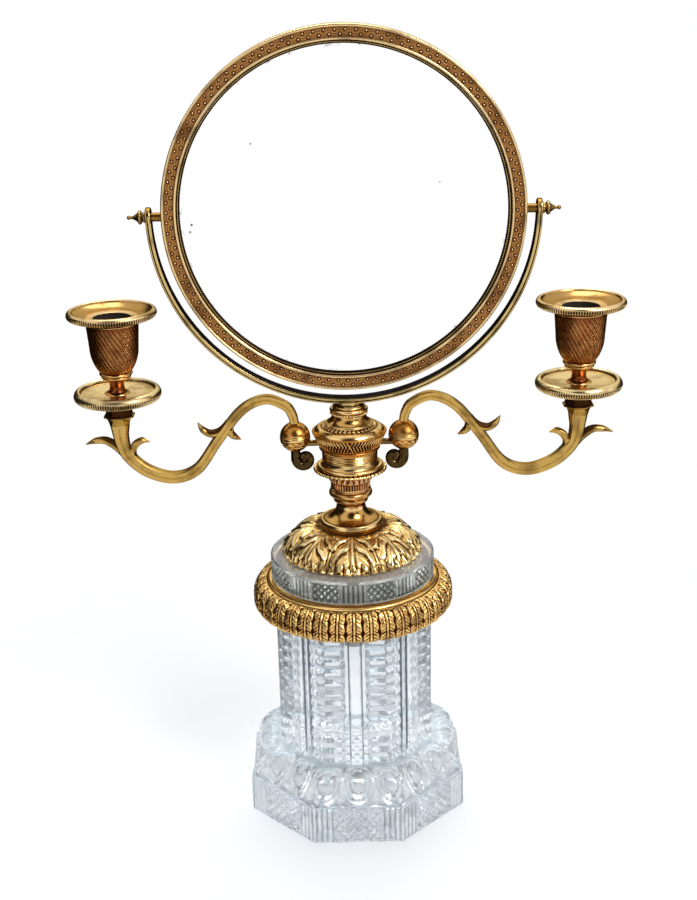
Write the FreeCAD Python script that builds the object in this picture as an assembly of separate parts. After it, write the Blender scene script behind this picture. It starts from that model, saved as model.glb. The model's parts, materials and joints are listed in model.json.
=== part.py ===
import FreeCAD, Part
import math
import os

from FreeCAD import Vector

# Dressing-table mirror on a crystal pedestal, with two candle branches.
# Millimetres. The origin is under the middle of the foot, +Z is up, -Y is the front.

# Crystal pedestal, one moulded block
foot_apothem = 65.0
plinth_height = 23.0
plinth_flute_pitch = 3.2
plinth_flute_depth = 1.5
plinth_flutes_per_end = 4
ovolo_height = 19.0
ovolo_bottom_apothem = 62.5
ovolo_top_apothem = 51.0
ovolo_steps = 5
egg_count = 16
egg_half_length = 8.6
egg_half_width = 5.6
egg_sink = 2.8
column_height = 85.0
column_rows = 12
row_land = 3.2
row_valley = 0.8
column_apothem = 46.0
row_depth = 2.6
rib_width = 9.0
rib_proud = 1.0
rib_slot_width = 1.2

# Centre rod set in lead in the top of the column
rod_radius = 3.0
rod_clearance = 0.2
lead_radius = 6.0
lead_depth = 19.0
lead_clearance = 0.05

# Leather washers between crystal and metal
washer_thickness = 0.8
column_washer_radius = 38.0
washer_width = 4.0

# Leaf-cast ring on the column
ring_height = 19.0
ring_radius = 60.5
ring_bulge_height = 8.6
ring_bottom_radius = 52.0
ring_fillet_radius = 51.5
ring_fillet_height = 1.6
ring_bore_radius = 42.0
ring_web = 3.5

# Crystal collar
collar_radius = 49.0
collar_height = 16.9
collar_chamfer = 2.6
collar_panels = 8
flutes_per_panel = 5
collar_flute_depth = 1.5

# Acanthus cap
cap_radius = 42.0
cap_height = 15.2
cap_top_radius = 18.5
cap_wall = 3.0
cap_bulge = 5.0
cap_lobes = 24
cap_lobe_radius = 2.2

# Turned stem
stem_disc_radius = 18.5
stem_disc_height = 2.8
stem_foot_height = 11.1
stem_flare_radius = 11.2
stem_neck_radius = 8.5
knop_height = 11.1
lower_knop_radius = 10.2
upper_knop_radius = 12.7
knop_groove = 0.6
calyx_height = 10.6
calyx_bottom_radius = 11.6
calyx_top_radius = 13.0
calyx_flutes = 24
calyx_flute_depth = 0.8
calyx_rim_height = 1.2

# Vase
saucer_height = 4.2
saucer_radius = 21.4
saucer_roll_radius = 18.8
saucer_lip_rise = 1.3
saucer_lip = 0.6
drum_height = 9.5
drum_radius = 17.2
drum_waist_radius = 16.2
belt_height = 11.0
belt_bottom_radius = 17.6
belt_fillet_height = 2.2
belt_radius = 21.8
belt_lip_height = 1.8
shoulder_height = 10.0
shoulder_edge_radius = 19.5
shoulder_ledge_radius = 13.2
shoulder_ledge_height = 4.0
shoulder_swell = 1.2
shoulder_hollow = 1.0
shoulder_top_radius = 9.8
yoke_collar_height = 6.0
yoke_collar_radius = 11.0
yoke_collar_neck = 8.8

# Yoke that carries the mirror
yoke_gap = 5.7
yoke_pan_clearance = 9.0
yoke_thickness = 3.0
yoke_depth = 11.0
yoke_pad_radius = 8.0
yoke_pad_height = 1.0
yoke_thread_depth = 3.0

# Round mirror frame, front to the -Y side
bezel_radius = 101.1
bezel_front = 5.2
outer_bead_width = 1.7
band_width = 5.2
inner_bead_width = 1.5
sight_ring_width = 2.0
bead_proud = 0.5
band_thickness = 0.8
lip_thickness = 3.2
bezel_wall = 4.1
sight_ring_height = 2.0
sight_ring_clearance = 0.1
glass_thickness = 3.0
glass_clearance = 0.4
felt_thickness = 1.0
board_thickness = 1.6
cover_thickness = 1.2
clip_count = 6
clip_length = 8.0
clip_width = 5.0
clip_thickness = 0.8
clip_screw_radius = 0.8
clip_screw_depth = 4.0
clip_screw_head_radius = 1.7
clip_screw_head_height = 0.9
screw_clearance = 0.05

# Mirror pivots and their finial nuts
peg_radius = 2.0
peg_clearance = 0.06
peg_tang_radius = 1.4
peg_tang_length = 2.6
peg_boss_radius = 2.5
peg_reach = 3.6
side_play = 0.15
finial_length = 10.4
finial_collar_radius = 2.9
finial_collar_length = 1.4
finial_disc_radius = 3.9
finial_disc_length = 2.4
finial_ball_radius = 1.2
finial_neck_radius = 0.8

# Ball knuckles of the candle branches
knuckle_radius = 8.9
knuckle_gap = 1.0
knuckle_height = 7.4
knuckle_flat_radius = 2.8
knuckle_play = 0.1
pin_radius = 2.0
pin_depth = 5.5
pin_rise = 5.0
stud_radius = 1.8
stud_drop = 4.2
stud_depth = 4.0
stud_wall = 2.0
fit_clearance = 0.04

# Scroll under each knuckle
scroll_leg = 5.6
scroll_radius = 5.0
scroll_end_radius = 2.3
scroll_turn = 290.0
scroll_root_half = 2.3
scroll_tip_half = 1.1
scroll_sections = 22

# Candle branch, a double curve from the knuckle to the candle axis
arm_reach = 101.4
arm_rise = 23.3
arm_drop = 23.4
arm_end_rise = 10.5
arm_root_half = 2.4
arm_bowl_half = 3.1
arm_end_half = 4.3
arm_tenon_radius = 1.9
arm_tenon_length = 3.0
leaf_root_half = 2.0
leaf_tip_half = 0.35
arm_sections = 24
leaf_sections = 7

# Candle holder stack
socket_height = 11.6
socket_radius = 8.7
socket_rim_height = 2.6
socket_neck_radius = 5.3
socket_neck_height = 4.0
pan_radius = 25.2
pan_height = 9.8
pan_rim_height = 6.6
pan_rim_width = 2.2
pan_floor = 4.6
pan_floor_radius = 15.0
pan_lip = 1.2
cup_foot_radius = 6.7
cup_foot_height = 2.2
cup_stem_radius = 4.2
cup_stem_height = 6.4
cup_height = 46.4
cup_bottom_radius = 8.4
cup_bottom_height = 12.8
cup_shoulder_radius = 14.3
cup_shoulder_height = 27.5
cup_rim_radius = 14.9
cup_rim_height = 2.0
well_floor = 20.0
well_taper = 6.0
candle_radius = 10.9
bobeche_radius = 25.7
bobeche_height = 5.6
bobeche_rim_height = 4.6
bobeche_rim_width = 2.0
bobeche_floor = 1.8
bobeche_lip = 1.0
mouth_slope = 2.5
mouth_drop = 0.8
spigot_wall = 1.1
spigot_length = 9.0
spigot_clearance = 0.06
candle_stud_radius = 1.5
candle_stud_depth = 5.0
candle_stud_top = 8.0

# Heights that follow from the sizes above
deck_z = plinth_height + ovolo_height
column_top = deck_z + column_height
ring_base = column_top + washer_thickness
ring_top = ring_base + ring_height
collar_base = ring_top + washer_thickness
collar_top = collar_base + collar_height
cap_base = collar_top + washer_thickness
stem_base = cap_base + cap_height
knop_base = stem_base + stem_foot_height
calyx_base = knop_base + knop_height
saucer_base = calyx_base + calyx_height
drum_base = saucer_base + saucer_height
belt_base = drum_base + drum_height
shoulder_base = belt_base + belt_height
yoke_collar_base = shoulder_base + shoulder_height
rod_bottom = column_top - lead_depth
rod_bore = rod_radius + rod_clearance

stud_start = rod_bore + stud_wall
knuckle_x = belt_radius + knuckle_gap + knuckle_radius
knuckle_z = belt_base + knuckle_height
candle_x = knuckle_x + arm_reach
socket_base = knuckle_z + arm_end_rise
pan_base = socket_base + socket_height
cup_base = pan_base + pan_floor
cup_top = cup_base + cup_height
spigot_radius = candle_radius + spigot_wall
well_radius = spigot_radius + spigot_clearance

# The neck under the yoke grows where the hoop would come too near to the upper pans
yoke_inner_radius = bezel_radius + yoke_gap
yoke_outer_radius = yoke_inner_radius + yoke_thickness
clear_radius = yoke_outer_radius + yoke_pan_clearance
pan_edge = candle_x - bobeche_radius
clear_rise = math.sqrt(max(0.0, clear_radius ** 2 - pan_edge ** 2))
lowest_pad = cup_top + bobeche_height + clear_rise - yoke_outer_radius - yoke_pad_height
yoke_pad_base = max(yoke_collar_base + yoke_collar_height, lowest_pad)
pivot_z = yoke_pad_base + yoke_pad_height + yoke_outer_radius
rod_top = yoke_pad_base + yoke_thread_depth

band_outer_radius = bezel_radius - outer_bead_width
band_inner_radius = band_outer_radius - band_width
sight_outer_radius = band_inner_radius - inner_bead_width
sight_inner_radius = sight_outer_radius - sight_ring_width
glass_front = lip_thickness - bezel_front
glass_radius = bezel_radius - bezel_wall - glass_clearance
felt_front = glass_front + glass_thickness
board_front = felt_front + felt_thickness
cover_front = board_front + board_thickness
bezel_back = cover_front + cover_thickness


def outline(points):
    """Closed face in the XZ plane. A plain point ends a line, a pair of points ends an arc."""
    edges = []
    first = Vector(points[0][0], 0, points[0][1])
    last = first
    for point in points[1:]:
        if isinstance(point[0], tuple):
            middle, end = (Vector(x, 0, z) for x, z in point)
            edges.append(Part.Arc(last, middle, end).toShape())
        else:
            end = Vector(point[0], 0, point[1])
            edges.append(Part.makeLine(last, end))
        last = end
    if last.distanceToPoint(first) > 1e-6:
        edges.append(Part.makeLine(last, first))
    return Part.Face(Part.Wire(edges))


def turned(points):
    """Solid of revolution about Z from (radius, height) points."""
    return outline(points).revolve(Vector(0, 0, 0), Vector(0, 0, 1), 360)


def turned_on_y(points):
    """Solid of revolution about the mirror's front-to-back axis, from (radius, y) points."""
    solid = turned(points)
    solid.rotate(Vector(0, 0, 0), Vector(1, 0, 0), -90)
    solid.translate(Vector(0, 0, pivot_z))
    return solid


def turned_on_x(points):
    """Solid of revolution about the right-hand mirror pivot, from (radius, x) points."""
    solid = turned(points)
    solid.rotate(Vector(0, 0, 0), Vector(0, 1, 0), 90)
    solid.translate(Vector(0, 0, pivot_z))
    return solid


def cylinder(radius, bottom, top, x=0.0, y=0.0):
    """Upright cylinder between two heights."""
    return Part.makeCylinder(radius, top - bottom, Vector(x, y, bottom))


def turn_about_z(shape, degrees):
    """Copy of a shape, turned about the Z axis."""
    copy = shape.copy()
    copy.rotate(Vector(0, 0, 0), Vector(0, 0, 1), degrees)
    return copy


def ring_of(shape, count, offset=0.0):
    """Compound of equally spaced copies about the Z axis."""
    step = 360.0 / count
    return Part.makeCompound([turn_about_z(shape, offset + i * step) for i in range(count)])


def octagon(apothem, height):
    """Corners of an octagon with one flat to the front."""
    corner = apothem / math.cos(math.pi / 8)
    angles = [math.pi / 8 + i * math.pi / 4 for i in range(8)]
    return [Vector(corner * math.cos(a), corner * math.sin(a), height) for a in angles]


def stacked(rings):
    """Solid with flat faces through rings that have the same number of corners."""
    faces = [Part.Face(Part.makePolygon(ring + ring[:1])) for ring in (rings[0], rings[-1])]
    for lower, upper in zip(rings, rings[1:]):
        for i, corner in enumerate(lower):
            j = (i + 1) % len(lower)
            quad = [corner, lower[j], upper[j], upper[i], corner]
            faces.append(Part.Face(Part.makePolygon(quad)))
    solid = Part.makeSolid(Part.makeShell(faces))
    if solid.Volume < 0:
        solid.reverse()
    return solid


def extruded(corners, height):
    """Prism on a flat closed outline."""
    return Part.Face(Part.makePolygon(corners + corners[:1])).extrude(Vector(0, 0, height))


def fluted_side(start, end):
    """Points of one plinth side, with V flutes at both ends and a plain middle."""
    along = (end - start).normalize()
    inward = Vector(-along.y, along.x, 0)
    length = start.distanceToPoint(end)
    points = []
    for base in (0.0, length - plinth_flutes_per_end * plinth_flute_pitch):
        for i in range(plinth_flutes_per_end):
            at = base + i * plinth_flute_pitch
            points.append(start + along * at)
            points.append(start + along * (at + plinth_flute_pitch / 2) + inward * plinth_flute_depth)
        points.append(start + along * (base + plinth_flutes_per_end * plinth_flute_pitch))
    return points[:-1]


def plinth():
    """Octagonal slab with fluted corners."""
    corners = octagon(foot_apothem, 0)
    points = []
    for i, corner in enumerate(corners):
        points += fluted_side(corner, corners[(i + 1) % 8])
    return extruded(points, plinth_height)


def ovolo():
    """Convex egg band between the plinth and the deck."""
    rings = []
    for i in range(ovolo_steps + 1):
        turn = 0.5 * math.pi * i / ovolo_steps
        apothem = ovolo_top_apothem + (ovolo_bottom_apothem - ovolo_top_apothem) * math.cos(turn)
        rings.append(octagon(apothem, plinth_height + ovolo_height * math.sin(turn)))
    return stacked(rings)


def eggs():
    """Egg shapes round the ovolo, at the sides and at the corners."""
    ellipse = Part.Ellipse(Vector(0, 0, egg_half_length), Vector(egg_half_width, 0, 0), Vector(0, 0, 0))
    half = Part.ArcOfEllipse(ellipse, -math.pi, 0).toShape()
    axis = Part.makeLine(half.Vertexes[1].Point, half.Vertexes[0].Point)
    egg = Part.Face(Part.Wire([half, axis])).revolve(Vector(0, 0, 0), Vector(0, 0, 1), 360)
    slope = math.degrees(math.atan2(ovolo_bottom_apothem - ovolo_top_apothem, ovolo_height))
    egg.rotate(Vector(0, 0, 0), Vector(0, 1, 0), -slope)
    reach = ovolo_top_apothem + (ovolo_bottom_apothem - ovolo_top_apothem) * math.cos(math.pi / 4)
    height = plinth_height + ovolo_height * math.sin(math.pi / 4)
    sides = egg.copy()
    sides.translate(Vector(reach - egg_sink, 0, height))
    corners = egg.copy()
    corners.translate(Vector(reach / math.cos(math.pi / 8) - egg_sink, 0, height))
    per_row = egg_count // 2
    return [ring_of(sides, per_row), ring_of(corners, per_row, 180.0 / per_row)]


def column():
    """Octagonal column: rows of step cuts round each corner and a smooth rib on each side."""
    pitch = column_height / column_rows
    slope = (pitch - row_land - row_valley) / 2
    rings = []
    for i in range(column_rows):
        base = deck_z + i * pitch
        rings.append(octagon(column_apothem - row_depth, base))
        rings.append(octagon(column_apothem, base + slope))
        rings.append(octagon(column_apothem, base + slope + row_land))
        rings.append(octagon(column_apothem - row_depth, base + pitch - row_valley))
    rings.append(octagon(column_apothem - row_depth, column_top))
    valley = column_apothem - row_depth
    front = column_apothem + rib_proud
    slot_corner = Vector(valley, rib_width / 2, deck_z)
    slot = Part.makeBox(front - valley, rib_slot_width, column_height, slot_corner)
    other_slot = slot.mirror(Vector(0, 0, 0), Vector(0, 1, 0))
    rib = Part.makeBox(front / 2, rib_width, column_height, Vector(front / 2, -rib_width / 2, deck_z))
    body = stacked(rings).cut(ring_of(slot, 8)).cut(ring_of(other_slot, 8))
    return body.fuse(ring_of(rib, 8).Solids)


def crystal_pedestal():
    """Foot and column in one, with a blind hole in the top for the rod."""
    body = plinth().fuse([ovolo(), column()])
    for ring in eggs():
        body = body.fuse(ring.Solids)
    hole = cylinder(lead_radius + lead_clearance, rod_bottom, column_top)
    return body.cut(hole).removeSplitter()


def lead_plug():
    """Cast lead that holds the rod in the column."""
    plug = cylinder(lead_radius, rod_bottom, column_top)
    return plug.cut(cylinder(rod_radius + lead_clearance, rod_bottom, column_top))


def washer(outer, inner, base):
    """Leather ring."""
    top = base + washer_thickness
    return cylinder(outer, base, top).cut(cylinder(inner, base, top))


def leaf_ring():
    """Bulging ring casting with a web over the column top."""
    bulge = (ring_radius, ring_base + ring_bulge_height)
    fillet_z = ring_top - ring_fillet_height
    return turned([
        (rod_bore, ring_base), (ring_bottom_radius, ring_base), (bulge, (ring_fillet_radius, fillet_z)),
        (ring_fillet_radius, ring_top), (ring_bore_radius, ring_top),
        (ring_bore_radius, ring_base + ring_web), (rod_bore, ring_base + ring_web)])


def collar_outline():
    """Round collar plan: flute panels between plain ones."""
    panel = math.pi / collar_panels
    points = []
    for i in range(collar_panels):
        start = 2 * panel * i - panel / 2
        for j in range(flutes_per_panel):
            ridge = start + panel * j / flutes_per_panel
            valley = start + panel * (j + 0.5) / flutes_per_panel
            points.append(polar(collar_radius, ridge))
            points.append(polar(collar_radius - collar_flute_depth, valley))
        points.append(polar(collar_radius, start + panel))
        points.append(polar(collar_radius, start + 1.5 * panel))
    return points


def polar(radius, angle):
    """Point in the collar's base plane."""
    return Vector(radius * math.cos(angle), radius * math.sin(angle), collar_base)


def crystal_collar():
    """Cut disc between the leaf ring and the cap, with a sloping top edge."""
    slope_base = collar_top - collar_chamfer
    envelope = turned([
        (rod_bore, collar_base), (collar_radius, collar_base), (collar_radius, slope_base),
        (collar_radius - collar_chamfer, collar_top), (rod_bore, collar_top)])
    return extruded(collar_outline(), collar_height).common(envelope)


def acanthus_cap():
    """Domed casting with a lobed edge."""
    rise = (cap_radius - cap_top_radius, cap_height)
    half_way = (cap_top_radius + 0.5 * rise[0], cap_base + 0.5 * rise[1])
    length = math.hypot(*rise)
    bulge = (half_way[0] + cap_bulge * rise[1] / length, half_way[1] + cap_bulge * rise[0] / length)
    inner_bulge = (bulge[0] - cap_wall, bulge[1] - cap_wall)
    dome = turned([
        (rod_bore, stem_base), (rod_bore, stem_base - cap_wall), (cap_top_radius, stem_base - cap_wall),
        (inner_bulge, (cap_radius - cap_wall - washer_width, cap_base)), (cap_radius, cap_base),
        (bulge, (cap_top_radius, stem_base))])
    notch = cylinder(cap_lobe_radius, cap_base, stem_base, cap_radius + 0.4 * cap_lobe_radius)
    return dome.cut(ring_of(notch, cap_lobes, 180.0 / cap_lobes))


def stem_foot():
    """Disc with a hollow flare up to the neck."""
    disc_top = stem_base + stem_disc_height
    bend = (stem_flare_radius, stem_base + 0.5 * stem_foot_height)
    return turned([
        (rod_bore, stem_base), (stem_disc_radius, stem_base), (stem_disc_radius, disc_top),
        (bend, (stem_neck_radius, knop_base)), (rod_bore, knop_base)])


def stem_knop():
    """Two turned rings, the upper one the wider."""
    lower_start = knop_base + 0.18 * knop_height
    lower_crown = (lower_knop_radius, knop_base + 0.37 * knop_height)
    groove = (stem_neck_radius + knop_groove, knop_base + 0.52 * knop_height)
    upper_crown = (upper_knop_radius, knop_base + 0.76 * knop_height)
    return turned([
        (rod_bore, knop_base), (stem_neck_radius, knop_base), (stem_neck_radius, lower_start),
        (lower_crown, groove), (upper_crown, (calyx_bottom_radius, calyx_base)), (rod_bore, calyx_base)])


def star(radius, height):
    """Corners of the calyx plan: ridges with a valley between each two."""
    valley = radius * (1 - calyx_flute_depth / calyx_bottom_radius)
    corners = []
    for i in range(2 * calyx_flutes):
        reach = radius if i % 2 == 0 else valley
        angle = math.pi * i / calyx_flutes
        corners.append(Vector(reach * math.cos(angle), reach * math.sin(angle), height))
    return corners


def fluted_calyx():
    """Bell with upright flutes under the vase."""
    rim = saucer_base - calyx_rim_height
    bell = stacked([star(calyx_bottom_radius, calyx_base), star(calyx_top_radius, rim)])
    bell = bell.fuse(cylinder(calyx_top_radius, rim, saucer_base))
    return bell.cut(cylinder(rod_bore, calyx_base, saucer_base))


def vase_saucer():
    """Thin lip with a roll on top of it."""
    lip = saucer_base + saucer_lip_rise
    roll_base = lip + saucer_lip
    roll_crown = (saucer_roll_radius, 0.5 * (roll_base + drum_base))
    return turned([
        (rod_bore, saucer_base), (calyx_top_radius, saucer_base), (saucer_radius, lip),
        (saucer_radius, roll_base), (drum_radius, roll_base), (roll_crown, (drum_radius, drum_base)),
        (rod_bore, drum_base)])


def vase_drum():
    """Slightly waisted drum."""
    return turned([
        (rod_bore, drum_base), (drum_radius, drum_base),
        ((drum_waist_radius, drum_base + drum_height / 2), (drum_radius, belt_base)),
        (rod_bore, belt_base)])


def vase_belt():
    """Widening belt below the vase's shoulder."""
    fillet = belt_base + belt_fillet_height
    return turned([
        (rod_bore, belt_base), (belt_bottom_radius, belt_base), (belt_bottom_radius, fillet),
        (belt_radius, shoulder_base - belt_lip_height), (belt_radius, shoulder_base),
        (rod_bore, shoulder_base)]).cut(stud_holes(stud_radius + fit_clearance))


def vase_shoulder():
    """Rounded shoulder and hollow cone up to the neck."""
    ledge = shoulder_base + shoulder_ledge_height
    middle = 0.5 * (shoulder_edge_radius + shoulder_ledge_radius)
    swell = (middle + shoulder_swell, shoulder_base + 0.75 * shoulder_ledge_height)
    cone = (shoulder_top_radius + shoulder_hollow, 0.5 * (ledge + yoke_collar_base))
    return turned([
        (rod_bore, shoulder_base), (shoulder_edge_radius, shoulder_base),
        (swell, (shoulder_ledge_radius, ledge)), (cone, (shoulder_top_radius, yoke_collar_base)),
        (rod_bore, yoke_collar_base)])


def yoke_collar():
    """Small turned ring under the yoke."""
    crown = (yoke_collar_radius, yoke_collar_base + 0.4 * yoke_collar_height)
    neck = yoke_collar_base + 0.72 * yoke_collar_height
    return turned([
        (rod_bore, yoke_collar_base), (shoulder_top_radius, yoke_collar_base),
        (crown, (yoke_collar_neck, neck)),
        (yoke_collar_neck, yoke_pad_base), (rod_bore, yoke_pad_base)])


def tie_rod():
    """Iron rod that the stem pieces are threaded on and the yoke is screwed to."""
    return cylinder(rod_radius, rod_bottom, rod_top)


def yoke():
    """Half hoop with rounded ends, a pad below and an eye for each pivot."""
    corner = Vector(yoke_inner_radius, -yoke_depth / 2, pivot_z)
    section = Part.makePlane(yoke_thickness, yoke_depth, corner)
    hoop = section.revolve(Vector(0, 0, pivot_z), Vector(0, 1, 0), 180)
    eye_middle = Vector(yoke_inner_radius, 0, pivot_z)
    end = Part.makeCylinder(yoke_depth / 2, yoke_thickness, eye_middle, Vector(1, 0, 0))
    end_left = end.mirror(Vector(0, 0, 0), Vector(1, 0, 0))
    pad = cylinder(yoke_pad_radius, yoke_pad_base, yoke_pad_base + yoke_pad_height + 0.6 * yoke_thickness)
    pad_limit = Part.makeCylinder(yoke_outer_radius, yoke_depth + 2 * yoke_pad_radius,
                                  Vector(0, -yoke_depth / 2 - yoke_pad_radius, pivot_z), Vector(0, 1, 0))
    body = hoop.fuse([end, end_left, pad.cut(pad_limit)])
    eye = Part.makeCylinder(peg_radius + peg_clearance, 2 * yoke_outer_radius + 2,
                            Vector(-yoke_outer_radius - 1, 0, pivot_z), Vector(1, 0, 0))
    thread = cylinder(rod_radius + lead_clearance, yoke_pad_base, rod_top)
    return body.cut(eye).cut(thread)


def mirror_bezel():
    """Turned frame ring: two beads with a recess between them and a wall behind."""
    front = -bezel_front
    bead = front - bead_proud
    recess = front + band_thickness
    wall = bezel_radius - bezel_wall
    outer_middle = bezel_radius - outer_bead_width / 2
    inner_middle = band_inner_radius - inner_bead_width / 2
    ring = turned_on_y([
        (sight_outer_radius, glass_front), (sight_outer_radius, front),
        ((inner_middle, bead), (band_inner_radius, front)), (band_inner_radius, recess),
        (band_outer_radius, recess), (band_outer_radius, front),
        ((outer_middle, bead), (bezel_radius, front)),
        (bezel_radius, bezel_back), (wall, bezel_back), (wall, glass_front)])
    hole = Part.makeCylinder(peg_tang_radius + fit_clearance, 2 * bezel_radius,
                             Vector(-bezel_radius, 0, pivot_z), Vector(1, 0, 0))
    core = turned_on_y([(0, -bezel_front), (bezel_radius - peg_tang_length, -bezel_front),
                        (bezel_radius - peg_tang_length, bezel_back), (0, bezel_back)])
    return ring.cut(hole.cut(core)).cut(clip_holes())


def ornament_band():
    """Pressed strip in the frame's recess."""
    front = -bezel_front
    return turned_on_y([
        (band_inner_radius, front), (band_outer_radius, front),
        (band_outer_radius, front + band_thickness), (band_inner_radius, front + band_thickness)])


def sight_ring():
    """Milled ring that lies on the glass inside the frame."""
    outer = sight_outer_radius - sight_ring_clearance
    crown = (0.5 * (outer + sight_inner_radius), glass_front - sight_ring_height)
    return turned_on_y([
        (sight_inner_radius, glass_front), (sight_inner_radius, glass_front - 0.5 * sight_ring_height),
        (crown, (outer, glass_front - 0.5 * sight_ring_height)), (outer, glass_front)])


def mirror_disc(front, thickness):
    """One of the flat discs stacked in the frame."""
    back = front + thickness
    return turned_on_y([(0, front), (glass_radius, front), (glass_radius, back), (0, back)])


def clip_angles():
    """Directions of the back clips, clear of the pivots."""
    step = 360.0 / clip_count
    return [step / 2 + i * step for i in range(clip_count)]


def around_mirror(shape):
    """Copies of a shape at each back clip. The shape is made at the mirror's right-hand side."""
    copies = []
    for angle in clip_angles():
        copy = shape.copy()
        copy.rotate(Vector(0, 0, pivot_z), Vector(0, 1, 0), angle)
        copies.append(copy)
    return copies


def clip_screw_x():
    """Distance of a clip's screw from the mirror's middle."""
    return bezel_radius - bezel_wall / 2


def pin_on_y(radius, front, back):
    """Cylinder along a clip screw's axis."""
    return Part.makeCylinder(radius, back - front, Vector(clip_screw_x(), front, pivot_z), Vector(0, 1, 0))


def clip_holes():
    """Pilot holes for the clip screws."""
    hole = pin_on_y(clip_screw_radius + screw_clearance, bezel_back - clip_screw_depth, bezel_back)
    return Part.makeCompound(around_mirror(hole))


def back_clips():
    """Tabs that hold the back cover in the frame."""
    tip = clip_screw_x() + clip_width / 2 - clip_length
    corner = Vector(tip, bezel_back, pivot_z - clip_width / 2)
    clip = Part.makeBox(clip_length, clip_thickness, clip_width, corner)
    hole = pin_on_y(clip_screw_radius + screw_clearance, bezel_back, bezel_back + clip_thickness)
    middle = Vector(0, bezel_back, pivot_z)
    limit = Part.makeCylinder(bezel_radius, clip_thickness, middle, Vector(0, 1, 0))
    return Part.makeCompound(around_mirror(clip.common(limit).cut(hole)))


def back_screws():
    """Round-headed screws of the back clips."""
    base = bezel_back + clip_thickness
    shank = pin_on_y(clip_screw_radius, bezel_back - clip_screw_depth, base)
    head = Part.makeCone(clip_screw_head_radius, 0.6 * clip_screw_head_radius, clip_screw_head_height,
                         Vector(clip_screw_x(), base, pivot_z), Vector(0, 1, 0))
    return Part.makeCompound(around_mirror(shank.fuse(head)))


def pivot_peg():
    """Right-hand pivot: tang in the frame, boss, and a peg through the yoke into the nut."""
    boss_end = yoke_inner_radius - side_play
    tip = yoke_outer_radius + peg_reach
    tang = bezel_radius - peg_tang_length
    seat = bezel_radius + fit_clearance
    return turned_on_x([
        (0, tang), (peg_tang_radius, tang), (peg_tang_radius, seat), (peg_boss_radius, seat),
        (peg_boss_radius, boss_end), (peg_radius, boss_end), (peg_radius, tip), (0, tip)])


def finial_nut():
    """Right-hand finial: collar, disc, cone and a small ball, with a blind hole for the peg."""
    base = yoke_outer_radius + side_play
    collar_end = base + finial_collar_length
    disc_end = collar_end + finial_disc_length
    tip = base + finial_length
    neck = tip - finial_ball_radius - math.sqrt(finial_ball_radius ** 2 - finial_neck_radius ** 2)
    bore = peg_radius + fit_clearance
    bore_end = yoke_outer_radius + peg_reach + side_play
    ball_middle = (finial_ball_radius, tip - finial_ball_radius)
    return turned_on_x([
        (bore, base), (finial_collar_radius, base), (finial_collar_radius, collar_end),
        ((finial_disc_radius, collar_end + finial_disc_length / 2), (finial_collar_radius, disc_end)),
        (finial_neck_radius, neck), (ball_middle, (0, tip)), (0, bore_end), (bore, bore_end)])


def stud_holes(radius):
    """Holes for the two knuckle studs, right through the vase belt."""
    holes = []
    for side in (1, -1):
        start = Vector(side * stud_start, 0, knuckle_z - stud_drop)
        holes.append(Part.makeCylinder(radius, knuckle_x, start, Vector(side, 0, 0)))
    return Part.makeCompound(holes)


def knuckle_stud():
    """Right-hand stud from the vase belt into the knuckle."""
    start = Vector(stud_start, 0, knuckle_z - stud_drop)
    length = knuckle_x - start.x - knuckle_radius + stud_depth
    return Part.makeCylinder(stud_radius, length, start, Vector(1, 0, 0))


def knuckle_base():
    """Fixed lower half of the ball, cut flat where the scroll joins."""
    ball = Part.makeSphere(knuckle_radius, Vector(knuckle_x, 0, knuckle_z))
    flat = math.sqrt(knuckle_radius ** 2 - knuckle_flat_radius ** 2)
    slab = cylinder(knuckle_radius, knuckle_z - flat, knuckle_z, knuckle_x)
    hole = cylinder(pin_radius + fit_clearance, knuckle_z - pin_depth, knuckle_z, knuckle_x)
    start = Vector(knuckle_x - knuckle_radius, 0, knuckle_z - stud_drop)
    stud_hole = Part.makeCylinder(stud_radius + fit_clearance, stud_depth, start, Vector(1, 0, 0))
    return ball.common(slab).cut(hole).cut(stud_hole)


def knuckle_cap():
    """Turning upper half of the ball, bored for the pin and for the branch's tenon."""
    ball = Part.makeSphere(knuckle_radius, Vector(knuckle_x, 0, knuckle_z))
    flat = math.sqrt(knuckle_radius ** 2 - arm_root_half ** 2)
    slab = cylinder(knuckle_radius, knuckle_z + knuckle_play, knuckle_z + flat, knuckle_x)
    hole = cylinder(pin_radius + fit_clearance, knuckle_z, knuckle_z + pin_rise + knuckle_play, knuckle_x)
    tenon_hole = cylinder(arm_tenon_radius + fit_clearance, knuckle_z + flat - arm_tenon_length,
                          knuckle_z + flat, knuckle_x)
    return ball.common(slab).cut(hole).cut(tenon_hole)


def swivel_pin():
    """Upright pin that the branch turns on."""
    return cylinder(pin_radius, knuckle_z - pin_depth, knuckle_z + pin_rise, knuckle_x)


def section_at(centre, tangent, half_thick, half_depth):
    """Chamfered section square to a path that lies in the XZ plane."""
    across = Vector(-tangent.z, 0, tangent.x)
    depth = Vector(0, 1, 0)
    chamfer = 0.55 * min(half_thick, half_depth)
    corners = []
    for sign_a, sign_b in ((1, 1), (-1, 1), (-1, -1), (1, -1)):
        long_a = across * (sign_a * half_thick) + depth * (sign_b * (half_depth - chamfer))
        long_b = across * (sign_a * (half_thick - chamfer)) + depth * (sign_b * half_depth)
        pair = [long_a, long_b] if sign_a == sign_b else [long_b, long_a]
        corners += [centre + offset for offset in pair]
    return Part.makePolygon(corners + corners[:1])


def blend(stops, share):
    """Value at a share of the way along a list of (share, value) stops."""
    for (low, first), (high, second) in zip(stops, stops[1:]):
        if share <= high:
            return first + (second - first) * (share - low) / (high - low)
    return stops[-1][1]


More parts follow.
